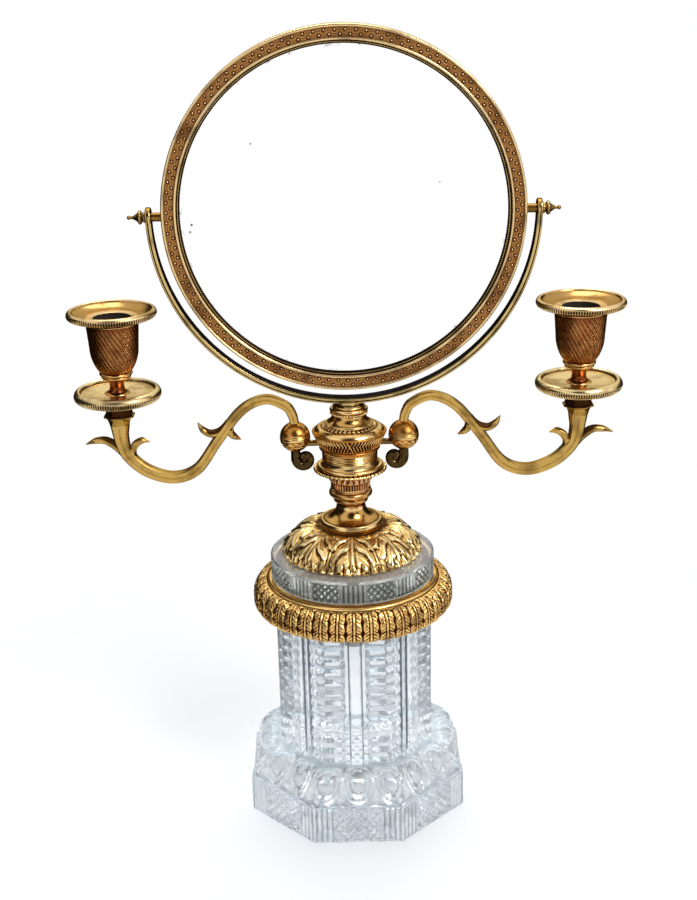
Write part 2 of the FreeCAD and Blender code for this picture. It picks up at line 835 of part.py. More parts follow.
def bar_along(points, half_size, sections, level_ends=()):
    """Tapering bar along a smooth line through (x, z) points, with stops for its half size.

    The sections numbered in level_ends lie level, to seat on a flat face.
    """
    line = Part.BSplineCurve()
    line.interpolate([Vector(x, 0, z) for x, z in points])
    first, last = line.FirstParameter, line.LastParameter
    wires = []
    for i in range(sections):
        share = i / (sections - 1)
        at = first + (last - first) * share
        tangent = line.tangent(at)[0]
        if i in level_ends:
            tangent = Vector(0, 0, math.copysign(1, tangent.z))
        half = blend(half_size, share)
        wires.append(section_at(line.value(at), tangent, half, half))
    return Part.makeLoft(wires, True, False)


def branch_point(along, up):
    """Point of the right-hand branch from a distance out and a height above the knuckle's middle."""
    return (knuckle_x + along, knuckle_z + up)


def arm_root_height():
    """Height of the ball's flat top above its middle."""
    return math.sqrt(knuckle_radius ** 2 - arm_root_half ** 2)


def arm_line():
    """Points of the branch: up over the hump, down into the bowl and up to the candle."""
    reach, rise, drop = arm_reach, arm_rise, arm_drop
    points = [
        (0, arm_root_height()), (0.012 * reach, 0.58 * rise), (0.05 * reach, 0.82 * rise),
        (0.163 * reach, rise), (0.30 * reach, 0.73 * rise), (0.444 * reach, -0.04 * drop),
        (0.569 * reach, -0.78 * drop), (0.71 * reach, -drop), (0.858 * reach, -0.81 * drop),
        (0.962 * reach, -0.40 * drop), (0.995 * reach, 0), (reach, arm_end_rise)]
    return [branch_point(*point) for point in points]


def leaf_lines():
    """Points of the four leaves that spring from the branch, root first."""
    reach, drop = arm_reach, arm_drop
    leaves = [
        [(0.405, 0.20), (0.47, 0.14), (0.52, 0.24), (0.555, 0.41)],
        [(0.39, 0.30), (0.355, 0.14), (0.335, 0.03), (0.312, -0.06)],
        [(0.985, -0.52), (1.045, -0.16), (1.095, 0.02), (1.15, 0.03), (1.21, -0.05)],
        [(0.955, -0.46), (0.94, -0.24), (0.905, -0.08), (0.84, -0.02)]]
    return [[branch_point(a * reach, b * drop) for a, b in leaf] for leaf in leaves]


def arm_branch():
    """Right-hand branch with its four leaves, a tenon below and a hole for the candle stud."""
    slim, stout = arm_root_half, arm_bowl_half
    thick = [(0, slim), (0.3, slim), (0.65, stout), (0.9, stout), (1, arm_end_half)]
    body = bar_along(arm_line(), thick, arm_sections, (0, arm_sections - 1))
    taper = [(0, leaf_root_half), (0.5, 0.8 * leaf_root_half), (1, leaf_tip_half)]
    leaves = [bar_along(line, taper, leaf_sections) for line in leaf_lines()]
    root = knuckle_z + arm_root_height()
    tenon = cylinder(arm_tenon_radius, root - arm_tenon_length, root, knuckle_x)
    bore = candle_stud_radius + fit_clearance
    hole = cylinder(bore, socket_base - candle_stud_depth, socket_base, candle_x)
    return body.fuse(leaves + [tenon]).cut(hole)


def knuckle_scroll():
    """Right-hand scroll: a short leg that rolls up towards the vase."""
    flat = math.sqrt(knuckle_radius ** 2 - knuckle_flat_radius ** 2)
    top = knuckle_z - flat
    centre = (knuckle_x - scroll_radius, top - scroll_leg)
    points = [(knuckle_x, top), (knuckle_x, top - scroll_leg / 2)]
    turns = 8
    for i in range(turns + 1):
        share = i / turns
        radius = scroll_radius + (scroll_end_radius - scroll_radius) * share
        angle = -math.radians(scroll_turn * share)
        points.append((centre[0] + radius * math.cos(angle), centre[1] + radius * math.sin(angle)))
    taper = [(0, scroll_root_half), (0.3, scroll_root_half), (1, scroll_tip_half)]
    return bar_along(points, taper, scroll_sections, (0,))


def at_candle(solid):
    """Moves a solid of revolution from the Z axis to the right-hand candle axis."""
    solid.translate(Vector(candle_x, 0, 0))
    return solid


def arm_socket():
    """Eight-sided flaring socket between the branch and the drip pan."""
    top = pan_base
    rings = [
        octagon(arm_end_half, socket_base), octagon(socket_neck_radius, socket_base + socket_neck_height),
        octagon(socket_radius, top - socket_rim_height), octagon(socket_radius, top)]
    return at_candle(stacked(rings).cut(cylinder(candle_stud_radius + fit_clearance, socket_base, top)))


def drip_pan():
    """Shallow dish with a stout rim."""
    top = pan_base + pan_height
    rim = top - pan_rim_height
    inner = pan_radius - pan_rim_width
    bore = candle_stud_radius + fit_clearance
    return at_candle(turned([
        (bore, pan_base), (socket_radius, pan_base), (inner - pan_rim_width, rim), (inner, rim),
        ((pan_radius, 0.5 * (rim + top)), (inner, top)), (inner - pan_rim_width, top - pan_lip),
        (pan_floor_radius, cup_base), (bore, cup_base)]))


def candle_cup():
    """Vase-shaped nozzle on a small foot."""
    stem = cup_base + cup_stem_height
    bottom = cup_base + cup_bottom_height
    shoulder = cup_base + cup_shoulder_height
    swell = (0.55 * (cup_bottom_radius + cup_shoulder_radius), 0.5 * (bottom + shoulder))
    ankle = (0.55 * (cup_foot_radius + cup_stem_radius), cup_base + cup_foot_height)
    flare = (0.7 * cup_stem_radius + 0.3 * cup_bottom_radius, 0.4 * stem + 0.6 * bottom)
    bore = candle_stud_radius + fit_clearance
    stud_end = cup_base + candle_stud_top
    floor = cup_base + well_floor
    return at_candle(turned([
        (bore, cup_base), (cup_foot_radius, cup_base), (cup_foot_radius, cup_base + 0.5 * cup_foot_height),
        (ankle, (cup_stem_radius, stem)),
        (flare, (cup_bottom_radius, bottom)),
        (swell, (cup_shoulder_radius, shoulder)), (cup_rim_radius, cup_top - cup_rim_height),
        (cup_rim_radius, cup_top), (well_radius, cup_top), (well_radius, floor + well_taper),
        (cup_bottom_radius, floor), (0, floor), (0, stud_end), (bore, stud_end)]))


def candle_stud():
    """Screwed stud that holds the cup, the pan and the socket on the branch."""
    top = cup_base + candle_stud_top - fit_clearance
    return at_candle(cylinder(candle_stud_radius, socket_base - candle_stud_depth, top))


def bobeche():
    """Loose drip pan with a spigot that drops into the cup."""
    top = cup_top + bobeche_height
    rim = top - bobeche_rim_height
    inner = bobeche_radius - bobeche_rim_width
    mouth = cup_top + bobeche_floor - mouth_drop
    return at_candle(turned([
        (candle_radius, cup_top - spigot_length), (spigot_radius, cup_top - spigot_length),
        (spigot_radius, cup_top), (cup_rim_radius, cup_top), (inner - bobeche_rim_width, rim), (inner, rim),
        ((bobeche_radius, 0.5 * (rim + top)), (inner, top)), (inner - bobeche_lip, top - bobeche_lip),
        (candle_radius + mouth_slope, cup_top + bobeche_floor), (candle_radius, mouth)]))


def save(name, shape):
    """Writes one sub-part and says what it holds."""
    shape.exportStep(os.path.join("parts", name + ".step"))
    state = "valid" if shape.isValid() else "BAD"
    print(name, len(shape.Solids), "solid", round(shape.Volume, 1), "mm3", state)


def save_pair(name, right):
    """Writes the right-hand sub-part and its mirror image on the left."""
    save("right_" + name, right)
    save("left_" + name, right.mirror(Vector(0, 0, 0), Vector(1, 0, 0)))


def main():
    os.makedirs("parts", exist_ok=True)
    save("crystal_pedestal", crystal_pedestal())
    save("lead_plug", lead_plug())
    save("tie_rod", tie_rod())
    save("column_washer", washer(column_washer_radius, rod_bore, column_top))
    save("leaf_ring", leaf_ring())
    save("lower_collar_washer", washer(ring_bore_radius + washer_width, ring_bore_radius, ring_top))
    save("crystal_collar", crystal_collar())
    seat = cap_radius - 2 * cap_lobe_radius
    save("upper_collar_washer", washer(seat, seat - washer_width, collar_top))
    save("acanthus_cap", acanthus_cap())
    save("stem_foot", stem_foot())
    save("stem_knop", stem_knop())
    save("fluted_calyx", fluted_calyx())
    save("vase_saucer", vase_saucer())
    save("vase_drum", vase_drum())
    save("vase_belt", vase_belt())
    save("vase_shoulder", vase_shoulder())
    save("yoke_collar", yoke_collar())
    save("yoke", yoke())
    save("mirror_bezel", mirror_bezel())
    save("ornament_band", ornament_band())
    save("sight_ring", sight_ring())
    save("mirror_glass", mirror_disc(glass_front, glass_thickness))
    save("backing_felt", mirror_disc(felt_front, felt_thickness))
    save("back_board", mirror_disc(board_front, board_thickness))
    save("back_cover", mirror_disc(cover_front, cover_thickness))
    save("back_clips", back_clips())
    save("back_screws", back_screws())
    save_pair("pivot_peg", pivot_peg())
    save_pair("finial_nut", finial_nut())
    save_pair("knuckle_stud", knuckle_stud())
    save_pair("knuckle_base", knuckle_base())
    save_pair("knuckle_scroll", knuckle_scroll())
    save_pair("swivel_pin", swivel_pin())
    save_pair("knuckle_cap", knuckle_cap())
    save_pair("arm_branch", arm_branch())
    save_pair("arm_socket", arm_socket())
    save_pair("drip_pan", drip_pan())
    save_pair("candle_cup", candle_cup())
    save_pair("candle_stud", candle_stud())
    save_pair("bobeche", bobeche())


main()
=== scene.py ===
import json
import math

import bmesh
import bpy
import numpy as np
from mathutils import Matrix, Vector


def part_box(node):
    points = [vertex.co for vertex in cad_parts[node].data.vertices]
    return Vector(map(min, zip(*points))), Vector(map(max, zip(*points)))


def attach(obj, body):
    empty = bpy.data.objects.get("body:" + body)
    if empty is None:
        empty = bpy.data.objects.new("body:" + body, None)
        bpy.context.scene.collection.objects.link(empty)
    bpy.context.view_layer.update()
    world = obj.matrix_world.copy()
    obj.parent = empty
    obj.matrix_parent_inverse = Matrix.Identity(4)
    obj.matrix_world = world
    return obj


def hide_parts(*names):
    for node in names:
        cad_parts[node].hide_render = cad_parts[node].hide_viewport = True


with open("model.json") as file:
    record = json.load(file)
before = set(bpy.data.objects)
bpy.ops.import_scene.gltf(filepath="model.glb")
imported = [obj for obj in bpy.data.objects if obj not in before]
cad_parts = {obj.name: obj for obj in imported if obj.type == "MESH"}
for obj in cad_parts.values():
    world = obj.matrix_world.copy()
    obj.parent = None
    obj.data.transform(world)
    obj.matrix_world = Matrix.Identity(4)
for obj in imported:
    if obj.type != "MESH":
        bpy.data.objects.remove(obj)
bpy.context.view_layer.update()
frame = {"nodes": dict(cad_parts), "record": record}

# Dressing-table mirror in gilt bronze and cut crystal. Shapes are written in millimetres and
# settled in the frame in metres. The front faces -Y, and angles round the stem count from the front.

MM = 0.001
SIDES = (("left", -1), ("right", 1))


def corners(node):
    """Lowest and highest corner of a CAD node in millimetres."""
    low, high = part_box(node)
    return low / MM, high / MM


# Places and sizes read from the frame
foot_high = corners("crystal_pedestal")[1]
ring_low, ring_high = corners("leaf_ring")
collar_low, collar_high = corners("crystal_collar")
cap_high = corners("acanthus_cap")[1]
bezel_low, bezel_high = corners("mirror_bezel")
band_low, band_high = corners("ornament_band")
sight_low, sight_high = corners("sight_ring")
yoke_low, yoke_high = corners("yoke")
ball_low, ball_high = corners("right_knuckle_base")
socket_low, socket_high = corners("right_arm_socket")
pan_low, pan_high = corners("right_drip_pan")
cup_low, cup_high = corners("right_candle_cup")
bobeche_low, bobeche_high = corners("right_bobeche")
finial_low, finial_high = corners("right_finial_nut")
pivot_z = 0.5 * (bezel_low.z + bezel_high.z)
knuckle_x = 0.5 * (ball_low.x + ball_high.x)
knuckle_radius = 0.5 * (ball_high.x - ball_low.x)
knuckle_z = corners("right_knuckle_cap")[0].z - 0.1
candle_x = 0.5 * (pan_low.x + pan_high.x)


# Shapes

def arc(start, middle, end, row):
    """Points of the arc through three points, without its start."""
    divisor = 2 * (start.x * (middle.y - end.y) + middle.x * (end.y - start.y)
                   + end.x * (start.y - middle.y))
    squares = [p.length_squared for p in (start, middle, end)]
    x = squares[0] * (middle.y - end.y) + squares[1] * (end.y - start.y) + squares[2] * (start.y - middle.y)
    y = squares[0] * (end.x - middle.x) + squares[1] * (start.x - end.x) + squares[2] * (middle.x - start.x)
    centre = Vector((x / divisor, y / divisor))
    angles = [math.atan2(p.y - centre.y, p.x - centre.x) for p in (start, middle, end)]
    turn = (angles[2] - angles[0]) % math.tau
    if (angles[1] - angles[0]) % math.tau > turn:
        turn -= math.tau
    radius = (start - centre).length
    count = max(4, math.ceil(abs(turn) * radius / row))
    steps = [angles[0] + turn * (i + 1) / count for i in range(count)]
    return [centre + radius * Vector((math.cos(a), math.sin(a))) for a in steps]


def outline(points, row):
    """Points along an outline, at most a row apart. A pair of points ends an arc, a list is one stride."""
    line = [Vector(points[0])]
    for point in points[1:]:
        start = line[-1]
        if isinstance(point, list):
            line.append(Vector(point))
        elif isinstance(point[0], tuple):
            line += arc(start, Vector(point[0]), Vector(point[1]), row)
        else:
            end = Vector(point)
            count = max(1, math.ceil((end - start).length / row))
            line += [start.lerp(end, (i + 1) / count) for i in range(count)]
    return line


def turn_about_z(bm, geom, angle, steps, copies=False):
    """Spins geometry about Z, as one surface or as separate copies."""
    bmesh.ops.spin(bm, geom=geom, cent=(0, 0, 0), axis=(0, 0, 1), dvec=(0, 0, 0), angle=angle, steps=steps,
                   use_duplicate=copies)


def turned(points, steps, row, closed=True):
    """Shape turned about Z from an outline of (radius, height) points: one sector, copied round."""
    bm = bmesh.new()
    verts = [bm.verts.new((p.x, 0, p.y)) for p in outline(points, row)]
    edges = [bm.edges.new(pair) for pair in zip(verts, verts[1:])]
    if closed:
        edges.append(bm.edges.new((verts[-1], verts[0])))
    sectors = math.gcd(steps, 24)
    turn_about_z(bm, verts + edges, math.tau / sectors, steps // sectors)
    sector = list(bm.verts) + list(bm.edges) + list(bm.faces)
    turn_about_z(bm, sector, math.tau * (sectors - 1) / sectors, sectors - 1, copies=True)
    bmesh.ops.remove_doubles(bm, verts=bm.verts, dist=1e-3)
    bmesh.ops.recalc_face_normals(bm, faces=bm.faces)
    return bm


def emboss(bm, relief, stain_and_shade_depth=0.0, level=0.0, layer="hollow"):
    """Raises points along their normals by relief(angle from the front, radius, height).

    Where a depth is given, the points are marked by how deep they lie under the level: stains on gilt,
    painted shade on crystal."""
    stain_and_shade_layer = bm.verts.layers.float.new(layer) if stain_and_shade_depth else None
    plain = 0.5 if layer == "hollow" else 0.0
    bm.normal_update()
    for v in bm.verts:
        rise = relief(math.atan2(v.co.x, -v.co.y), math.hypot(v.co.x, v.co.y), v.co.z)
        v.co += v.normal * rise
        if stain_and_shade_depth:
            v[stain_and_shade_layer] = min(1.0, max(0.0, plain - 0.5 * (rise + level) / stain_and_shade_depth))
    return bm


def face_front(bm):
    """Turns a shape from the Z axis onto the mirror's axis: heights become distances behind the pivot."""
    bmesh.ops.rotate(bm, cent=(0, 0, 0), matrix=Matrix.Rotation(-math.pi / 2, 3, "X"), verts=bm.verts)
    bmesh.ops.translate(bm, vec=(0, 0, pivot_z), verts=bm.verts)
    return bm


def along_x(bm, sign):
    """Turns a shape from the Z axis onto the mirror's pivot, to the right or to the left."""
    bmesh.ops.rotate(bm, cent=(0, 0, 0), matrix=Matrix.Rotation(sign * math.pi / 2, 3, "Y"), verts=bm.verts)
    bmesh.ops.translate(bm, vec=(0, 0, pivot_z), verts=bm.verts)
    return bm


def smooth_line(points, per_span):
    """Points on a smooth line through points in a plane, with a tangent for each."""
    knots = [Vector(p) for p in points]
    ends = [2 * knots[0] - knots[1]] + knots + [2 * knots[-1] - knots[-2]]
    line = []
    for i in range(1, len(ends) - 2):
        before, a, b, after = ends[i - 1:i + 3]
        count = per_span + (1 if i == len(ends) - 3 else 0)
        for j in range(count):
            t = j / per_span
            point = 0.5 * (2 * a + t * (b - before) + t * t * (2 * before - 5 * a + 4 * b - after)
                           + t ** 3 * (3 * a - before - 3 * b + after))
            slope = 0.5 * (b - before + 2 * t * (2 * before - 5 * a + 4 * b - after)
                           + 3 * t * t * (3 * a - before - 3 * b + after))
            line.append((point, slope.normalized()))
    return line


def blend(stops, share):
    """Value at a share of the way along a list of (share, value) stops."""
    for (low, first), (high, second) in zip(stops, stops[1:]):
        if share <= high:
            return first + (second - first) * (share - low) / (high - low)
    return stops[-1][1]


def extrude_ring(bm, ring):
    """Extrudes an open ring of edges in place, and returns the new points and edges."""
    made = bmesh.ops.extrude_edge_only(bm, edges=ring)["geom"]
    verts = [e for e in made if isinstance(e, bmesh.types.BMVert)]
    edges = [e for e in made if isinstance(e, bmesh.types.BMEdge) and e.is_boundary]
    return verts, edges


def swept(points, thick, deep, section, per_span):
    """Bar along a smooth line of (x, z) points, with stops for its half thickness and half depth."""
    line = smooth_line(points, per_span)
    bm = bmesh.new()
    made = bmesh.ops.create_circle(bm, segments=len(section), radius=1)
    for v, (across, depth) in zip(made["verts"], section):
        v.co = (across, depth, 0)
    present = Matrix.Identity(4)
    ring = list(bm.edges)
    verts = list(bm.verts)
    bmesh.ops.contextual_create(bm, geom=ring)
    for i, (at, tangent) in enumerate(line):
        share = i / (len(line) - 1)
        across = Vector((-tangent.y, 0, tangent.x)) * blend(thick, share)
        depth = Vector((0, 1, 0)) * blend(deep, share)
        following = Matrix((across, depth, Vector((tangent.x, 0, tangent.y)))).transposed().to_4x4()
        following.translation = (at.x, 0, at.y)
        if i:
            verts, ring = extrude_ring(bm, ring)
        bmesh.ops.transform(bm, matrix=following @ present.inverted(), verts=verts)
        present = following
    bmesh.ops.contextual_create(bm, geom=ring)
    bmesh.ops.recalc_face_normals(bm, faces=bm.faces)
    return bm


def join(bm, *others):
    """Adds the shapes of other bmeshes to the first."""
    for other in others:
        mesh = bpy.data.meshes.new("joined")
        other.to_mesh(mesh)
        other.free()
        bm.from_mesh(mesh)
        bpy.data.meshes.remove(mesh)
    return bm


def mark_hollows(mesh, passes, depth):
    """Stores on each point how deep it lies under its smoothed surroundings: 0.5 is level, 1 deep."""
    count = len(mesh.vertices)
    places = np.empty(count * 3, np.float32)
    mesh.vertices.foreach_get("co", places)
    normals = np.empty(count * 3, np.float32)
    mesh.vertex_normals.foreach_get("vector", normals)
    pairs = np.empty(len(mesh.edges) * 2, np.int32)
    mesh.edges.foreach_get("vertices", pairs)
    first, second = pairs.reshape(-1, 2).T
    ends = np.concatenate((first, second))
    others = np.concatenate((second, first))
    neighbours = np.maximum(np.bincount(ends, minlength=count), 1)
    places = places.reshape(-1, 3)
    level = places.copy()
    for _ in range(passes):
        level = np.stack([np.bincount(ends, level[others, k], count) / neighbours for k in range(3)], 1)
    sunk = ((level - places) * normals.reshape(-1, 3)).sum(1) / (depth * MM)
    added = np.zeros(count, np.float32)
    if "soot_and_painted_shade" in mesh.attributes:
        mesh.attributes["soot_and_painted_shade"].data.foreach_get("value", added)
    layer = mesh.attributes.new("hollow", "FLOAT", "POINT")
    layer.data.foreach_set("value", np.clip(0.5 + 0.5 * sunk + added, 0, 1).astype(np.float32))


def stain_and_shade(bm, depth_at, layer="hollow"):
    """Lets a shape bring its own hollows or painted shade, from 0.5 for level to 1 for deep, or soot and
    painted shade on top of found ones.
    """
    stain_and_shade_layer = bm.verts.layers.float.new(layer)
    for v in bm.verts:
        v[stain_and_shade_layer] = min(1.0, max(0.0, depth_at(v.co)))
    return bm


def line_bore(bm, radius, low):
    """Gives the faces inside a bore, above a height, the second material."""
    for face in bm.faces:
        middle = face.calc_center_median()
        outward = face.normal.x * middle.x + face.normal.y * middle.y
        if math.hypot(middle.x, middle.y) < radius and middle.z > low and outward < 0.01:
            face.material_index = 1
    return bm


def settle(bm, name, body, material, node, slot="gilt_bronze", at=(0, 0, 0), sharp=38, passes=8, depth=0.35,
           lining=None):
    """Puts a finished shape in the frame, dresses it and lets it stand for its CAD node."""
    bmesh.ops.translate(bm, vec=at, verts=bm.verts)
    bmesh.ops.scale(bm, vec=(MM, MM, MM), verts=bm.verts)
    mesh = bpy.data.meshes.new(name)
    bm.to_mesh(mesh)
    bm.free()
    mesh.shade_smooth()
    mesh.set_sharp_from_angle(angle=math.radians(sharp))
    if "hollow" not in mesh.attributes:
        mark_hollows(mesh, passes, depth)
    mesh.materials.append(material)
    if lining:
        mesh.materials.append(lining)
    piece = bpy.data.objects.new(name, mesh)
    bpy.context.scene.collection.objects.link(piece)
    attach(piece, body)
    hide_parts(node)


def wave(x):
    """Cosine wave from 0 to 1, with its crest at whole numbers."""
    return 0.5 + 0.5 * math.cos(math.tau * x)


def saw(x):
    """Distance to the nearest whole number, from 0 to 0.5."""
    return abs(x - round(x))


def hump(x, wide):
    """Bell curve of height 1 about 0."""
    return math.exp(-(x / wide) ** 2)


def crossed_cut(across, upward):
    """Depth of crossed slanting cuts that leave small pyramids: 1 in the cuts, 0 on the points."""
    return 1 - 2 * min(saw(across + upward), saw(across - upward))


def step(low, high, x):
    """Smooth step from 0 at low to 1 at high."""
    t = min(1.0, max(0.0, (x - low) / (high - low)))
    return t * t * (3 - 2 * t)


def window(low, high, soft, x):
    """1 between two values, with soft ends."""
    return step(low, low + soft, x) * step(high, high - soft, x)


# Materials

def feed(tree, node, sockets):
    """Sets or links inputs of a shader node."""
    for name, value in sockets.items():
        if isinstance(value, bpy.types.NodeSocket):
            tree.links.new(value, node.inputs[name])
        else:
            node.inputs[name].default_value = value


def place(tree, kind, sockets=None, **settings):
    """Adds a shader node, sets its properties and feeds its inputs."""
    node = tree.nodes.new("ShaderNode" + kind)
    for name, value in settings.items():
        setattr(node, name, value)
    feed(tree, node, sockets or {})
    return node


def own_coords(tree):
    """Coordinates in metres that stay with the piece."""
    return place(tree, "TexCoord").outputs["Object"]


def noise(tree, coords, scale, detail, roughness=0.5):
    """Cloudy pattern about 0.5, with its scale per metre."""
    node = place(tree, "TexNoise", {"Vector": coords, "Scale": scale, "Detail": detail,
                                    "Roughness": roughness})
    return node.outputs[0]


def ramp(tree, value, low, high, start=0.0, end=1.0):
    """Maps a value smoothly from low..high to start..end."""
    node = place(tree, "MapRange", {"Value": value, "From Min": low, "From Max": high,
                                    "To Min": start, "To Max": end}, interpolation_type="SMOOTHSTEP")
    return node.outputs["Result"]


def math_node(tree, operation, first, second):
    """Result of a sum, product or other operation on two values."""
    return place(tree, "Math", {0: first, 1: second}, operation=operation).outputs[0]


def unevenly(tree, value, pattern, amount):
    """Value shifted up and down by a pattern about 0.5."""
    shift = math_node(tree, "MULTIPLY", math_node(tree, "SUBTRACT", pattern, 0.5), amount)
    return math_node(tree, "ADD", value, shift)


def mixed(tree, share, first, second):
    """Colour between two colours."""
    return place(tree, "Mix", {0: share, 6: first, 7: second}, data_type="RGBA").outputs[2]


def bumps(tree, height, distance, strength):
    """Normals of a fine relief."""
    node = place(tree, "Bump", {"Height": height, "Distance": distance, "Strength": strength})
    return node.outputs["Normal"]


def length_of(tree, vector):
    """Length of a vector."""
    return place(tree, "VectorMath", {0: vector}, operation="LENGTH").outputs["Value"]


def from_pivot(tree, coords):
    """Place in the mirror's plane, counted from its pivot, and the distance from there."""
    centred = place(tree, "Mapping", {"Vector": coords, "Location": (0, 0, -pivot_z * MM),
                                      "Scale": (1, 0, 1)}).outputs["Vector"]
    return centred, length_of(tree, centred)


def colour_of(r, g, b):
    """Colour with full alpha."""
    return (r, g, b, 1.0)


def new_material(name):
    """New material with its node tree and its surface shader."""
    material = bpy.data.materials.new(name)
    material.use_nodes = True
    tree = material.node_tree
    return material, tree, tree.nodes["Principled BSDF"]


def let_through(tree, surface, share, tint):
    """Lets a share of the light pass straight through a surface, with a tint."""
    clear = place(tree, "BsdfTransparent", {"Color": colour_of(*tint)})
    both = place(tree, "MixShader", {0: share, 1: surface.outputs["BSDF"], 2: clear.outputs["BSDF"]})
    feed(tree, tree.nodes["Material Output"], {"Surface": both.outputs["Shader"]})


def gilding_group():
    """Worn gilding: bright crests, red-brown patina in the hollows, blotches and fine pitting."""
    tree = bpy.data.node_groups.new("worn_gilding", "ShaderNodeTree")
    sockets = {
        "INPUT": {"Hollow": "Float", "Crest": "Color", "Field": "Color", "Recess": "Color",
                  "Polish": "Float"},
        "OUTPUT": {"Color": "Color", "Roughness": "Float", "Metal": "Float", "Height": "Float"}}
    for way, kinds in sockets.items():
        for label, kind in kinds.items():
            tree.interface.new_socket(label, in_out=way, socket_type="NodeSocket" + kind)
    given = tree.nodes.new("NodeGroupInput").outputs
    coords = own_coords(tree)
    cloud = noise(tree, coords, 70.0, 4.0)
    blotch = noise(tree, coords, 310.0, 3.0)
    grain = noise(tree, coords, 1900.0, 2.0)
    hollow = unevenly(tree, given["Hollow"], blotch, 0.22)
    raised = ramp(tree, hollow, 0.46, 0.30)
    sunk = ramp(tree, hollow, 0.53, 0.78)
    tarnish = math_node(tree, "MULTIPLY", ramp(tree, cloud, 0.48, 0.68), 0.5)
    colour = mixed(tree, raised, given["Field"], given["Crest"])
    colour = mixed(tree, tarnish, colour, given["Recess"])
    colour = mixed(tree, sunk, colour, given["Recess"])
    dull = math_node(tree, "MULTIPLY", math_node(tree, "ADD", sunk, tarnish), 0.22)
    rough = math_node(tree, "ADD", given["Polish"], dull)
    rough = math_node(tree, "ADD", rough, math_node(tree, "MULTIPLY", blotch, 0.12))
    feed(tree, tree.nodes.new("NodeGroupOutput"), {
        "Color": colour, "Roughness": rough, "Metal": ramp(tree, sunk, 0.0, 1.0, 1.0, 0.85),
        "Height": math_node(tree, "ADD", grain, blotch)})
    return tree


def gilt(name, crest, field, recess, polish, marked=True, edge=0.8):
    """Gilt bronze. Marked pieces carry their hollows, CAD nodes get them from the shape of the surface."""
    material, tree, surface = new_material(name)
    if marked:
        hollow = place(tree, "Attribute", attribute_name="hollow").outputs["Fac"]
    else:
        hollow = math_node(tree, "SUBTRACT", 1.0, place(tree, "NewGeometry").outputs["Pointiness"])
    worn = place(tree, "Group", {
        "Hollow": hollow, "Crest": colour_of(*crest), "Field": colour_of(*field),
        "Recess": colour_of(*recess), "Polish": polish}, node_tree=gilding).outputs
    feed(tree, surface, {
        "Base Color": worn["Color"], "Roughness": worn["Roughness"], "Metallic": worn["Metal"],
        "Normal": bumps(tree, worn["Height"], pitting, 0.6),
        "Specular Tint": colour_of(edge, 0.85 * edge, 0.6 * edge)})
    return material


def crystal(name, crest, field, recess, shadow_tint, cloudy):
    """Moulded lead crystal, faintly wavy and clouded, with painted grey shade in the cuts and painted white
    highlights on the crests. Lamps shine through it.
    """
    material, tree, surface = new_material(name)
    coords = own_coords(tree)
    ripple = noise(tree, coords, 120.0, 2.0)
    film = noise(tree, coords, 140.0, 5.0)
    hollow = unevenly(tree, place(tree, "Attribute", attribute_name="hollow").outputs["Fac"], film, 0.3)
    colour = mixed(tree, ramp(tree, hollow, 0.48, 0.30), colour_of(*field), colour_of(*crest))
    colour = mixed(tree, ramp(tree, hollow, 0.53, 0.90), colour, colour_of(*recess))
    feed(tree, surface, {
        "Base Color": colour, "Roughness": ramp(tree, film, 0.40, 0.75, 0.03, 0.10),
        "Normal": bumps(tree, ripple, 0.0003, 0.35), "Transmission Weight": 1.0 - cloudy,
        "IOR": crystal_index})
    let_through(tree, surface, place(tree, "LightPath").outputs["Is Shadow Ray"], shadow_tint)
    return material


def looking_glass():
    """Old silvering, with foxing at the edge and a few dark specks."""
    material, tree, surface = new_material("silvered_glass")
    coords = own_coords(tree)
    centred, radius = from_pivot(tree, coords)
    cloud = noise(tree, coords, 160.0, 6.0, 0.7)
    edge = ramp(tree, radius, foxed_from * MM, foxed_to * MM)
    marks = math_node(tree, "MULTIPLY", edge, ramp(tree, cloud, 0.56, 0.72))
    for x, z, size in specks:
        spot = Vector((x, 0, z)) * MM
        away = place(tree, "VectorMath", {0: centred, 1: spot}, operation="DISTANCE").outputs["Value"]
        marks = math_node(tree, "MAXIMUM", marks, ramp(tree, away, size * MM, 0.5 * size * MM))
    feed(tree, surface, {
        "Base Color": mixed(tree, marks, colour_of(1.0, 1.0, 1.0), colour_of(0.20, 0.16, 0.11)),
        "Roughness": ramp(tree, marks, 0.0, 1.0, 0.0, 0.4), "Metallic": 1.0})
    return material


def back_brass():
    """Spun brass of the back: fine rings about the mirror's axis, stained brown."""
    material, tree, surface = new_material("spun_brass")
    coords = own_coords(tree)
    radius = from_pivot(tree, coords)[1]
    rings = noise(tree, place(tree, "CombineXYZ", {"X": radius}).outputs[0], 2600.0, 3.0)
    stains = noise(tree, coords, 28.0, 6.0, 0.65)
    spots = noise(tree, coords, 260.0, 4.0)
    brown = ramp(tree, stains, 0.40, 0.68)
    colour = mixed(tree, brown, colour_of(0.66, 0.46, 0.17), colour_of(0.30, 0.16, 0.06))
    colour = mixed(tree, ramp(tree, spots, 0.60, 0.70), colour, colour_of(0.11, 0.06, 0.03))
    dull = ramp(tree, stains, 0.4, 0.7, 0.0, 0.2)
    feed(tree, surface, {
        "Base Color": colour, "Normal": bumps(tree, rings, 0.00003, 0.8), "Metallic": 1.0,
        "Roughness": math_node(tree, "ADD", ramp(tree, rings, 0.3, 0.7, 0.26, 0.38), dull)})
    return material


def mottled(name, light, dark, scale, rough, metal=0.0):
    """Plain workshop material with two tones and a grain."""
    material, tree, surface = new_material(name)
    coords = own_coords(tree)
    patch = noise(tree, coords, scale, 5.0)
    grain = noise(tree, coords, scale * 12, 3.0)
    tone = math_node(tree, "ADD", math_node(tree, "MULTIPLY", patch, 0.6),
                     math_node(tree, "MULTIPLY", grain, 0.4))
    feed(tree, surface, {
        "Base Color": mixed(tree, ramp(tree, tone, 0.38, 0.62), colour_of(*dark), colour_of(*light)),
        "Roughness": ramp(tree, grain, 0.3, 0.7, rough - 0.1, rough + 0.1),
        "Normal": bumps(tree, grain, 0.0001, 0.8), "Metallic": metal})
    return material


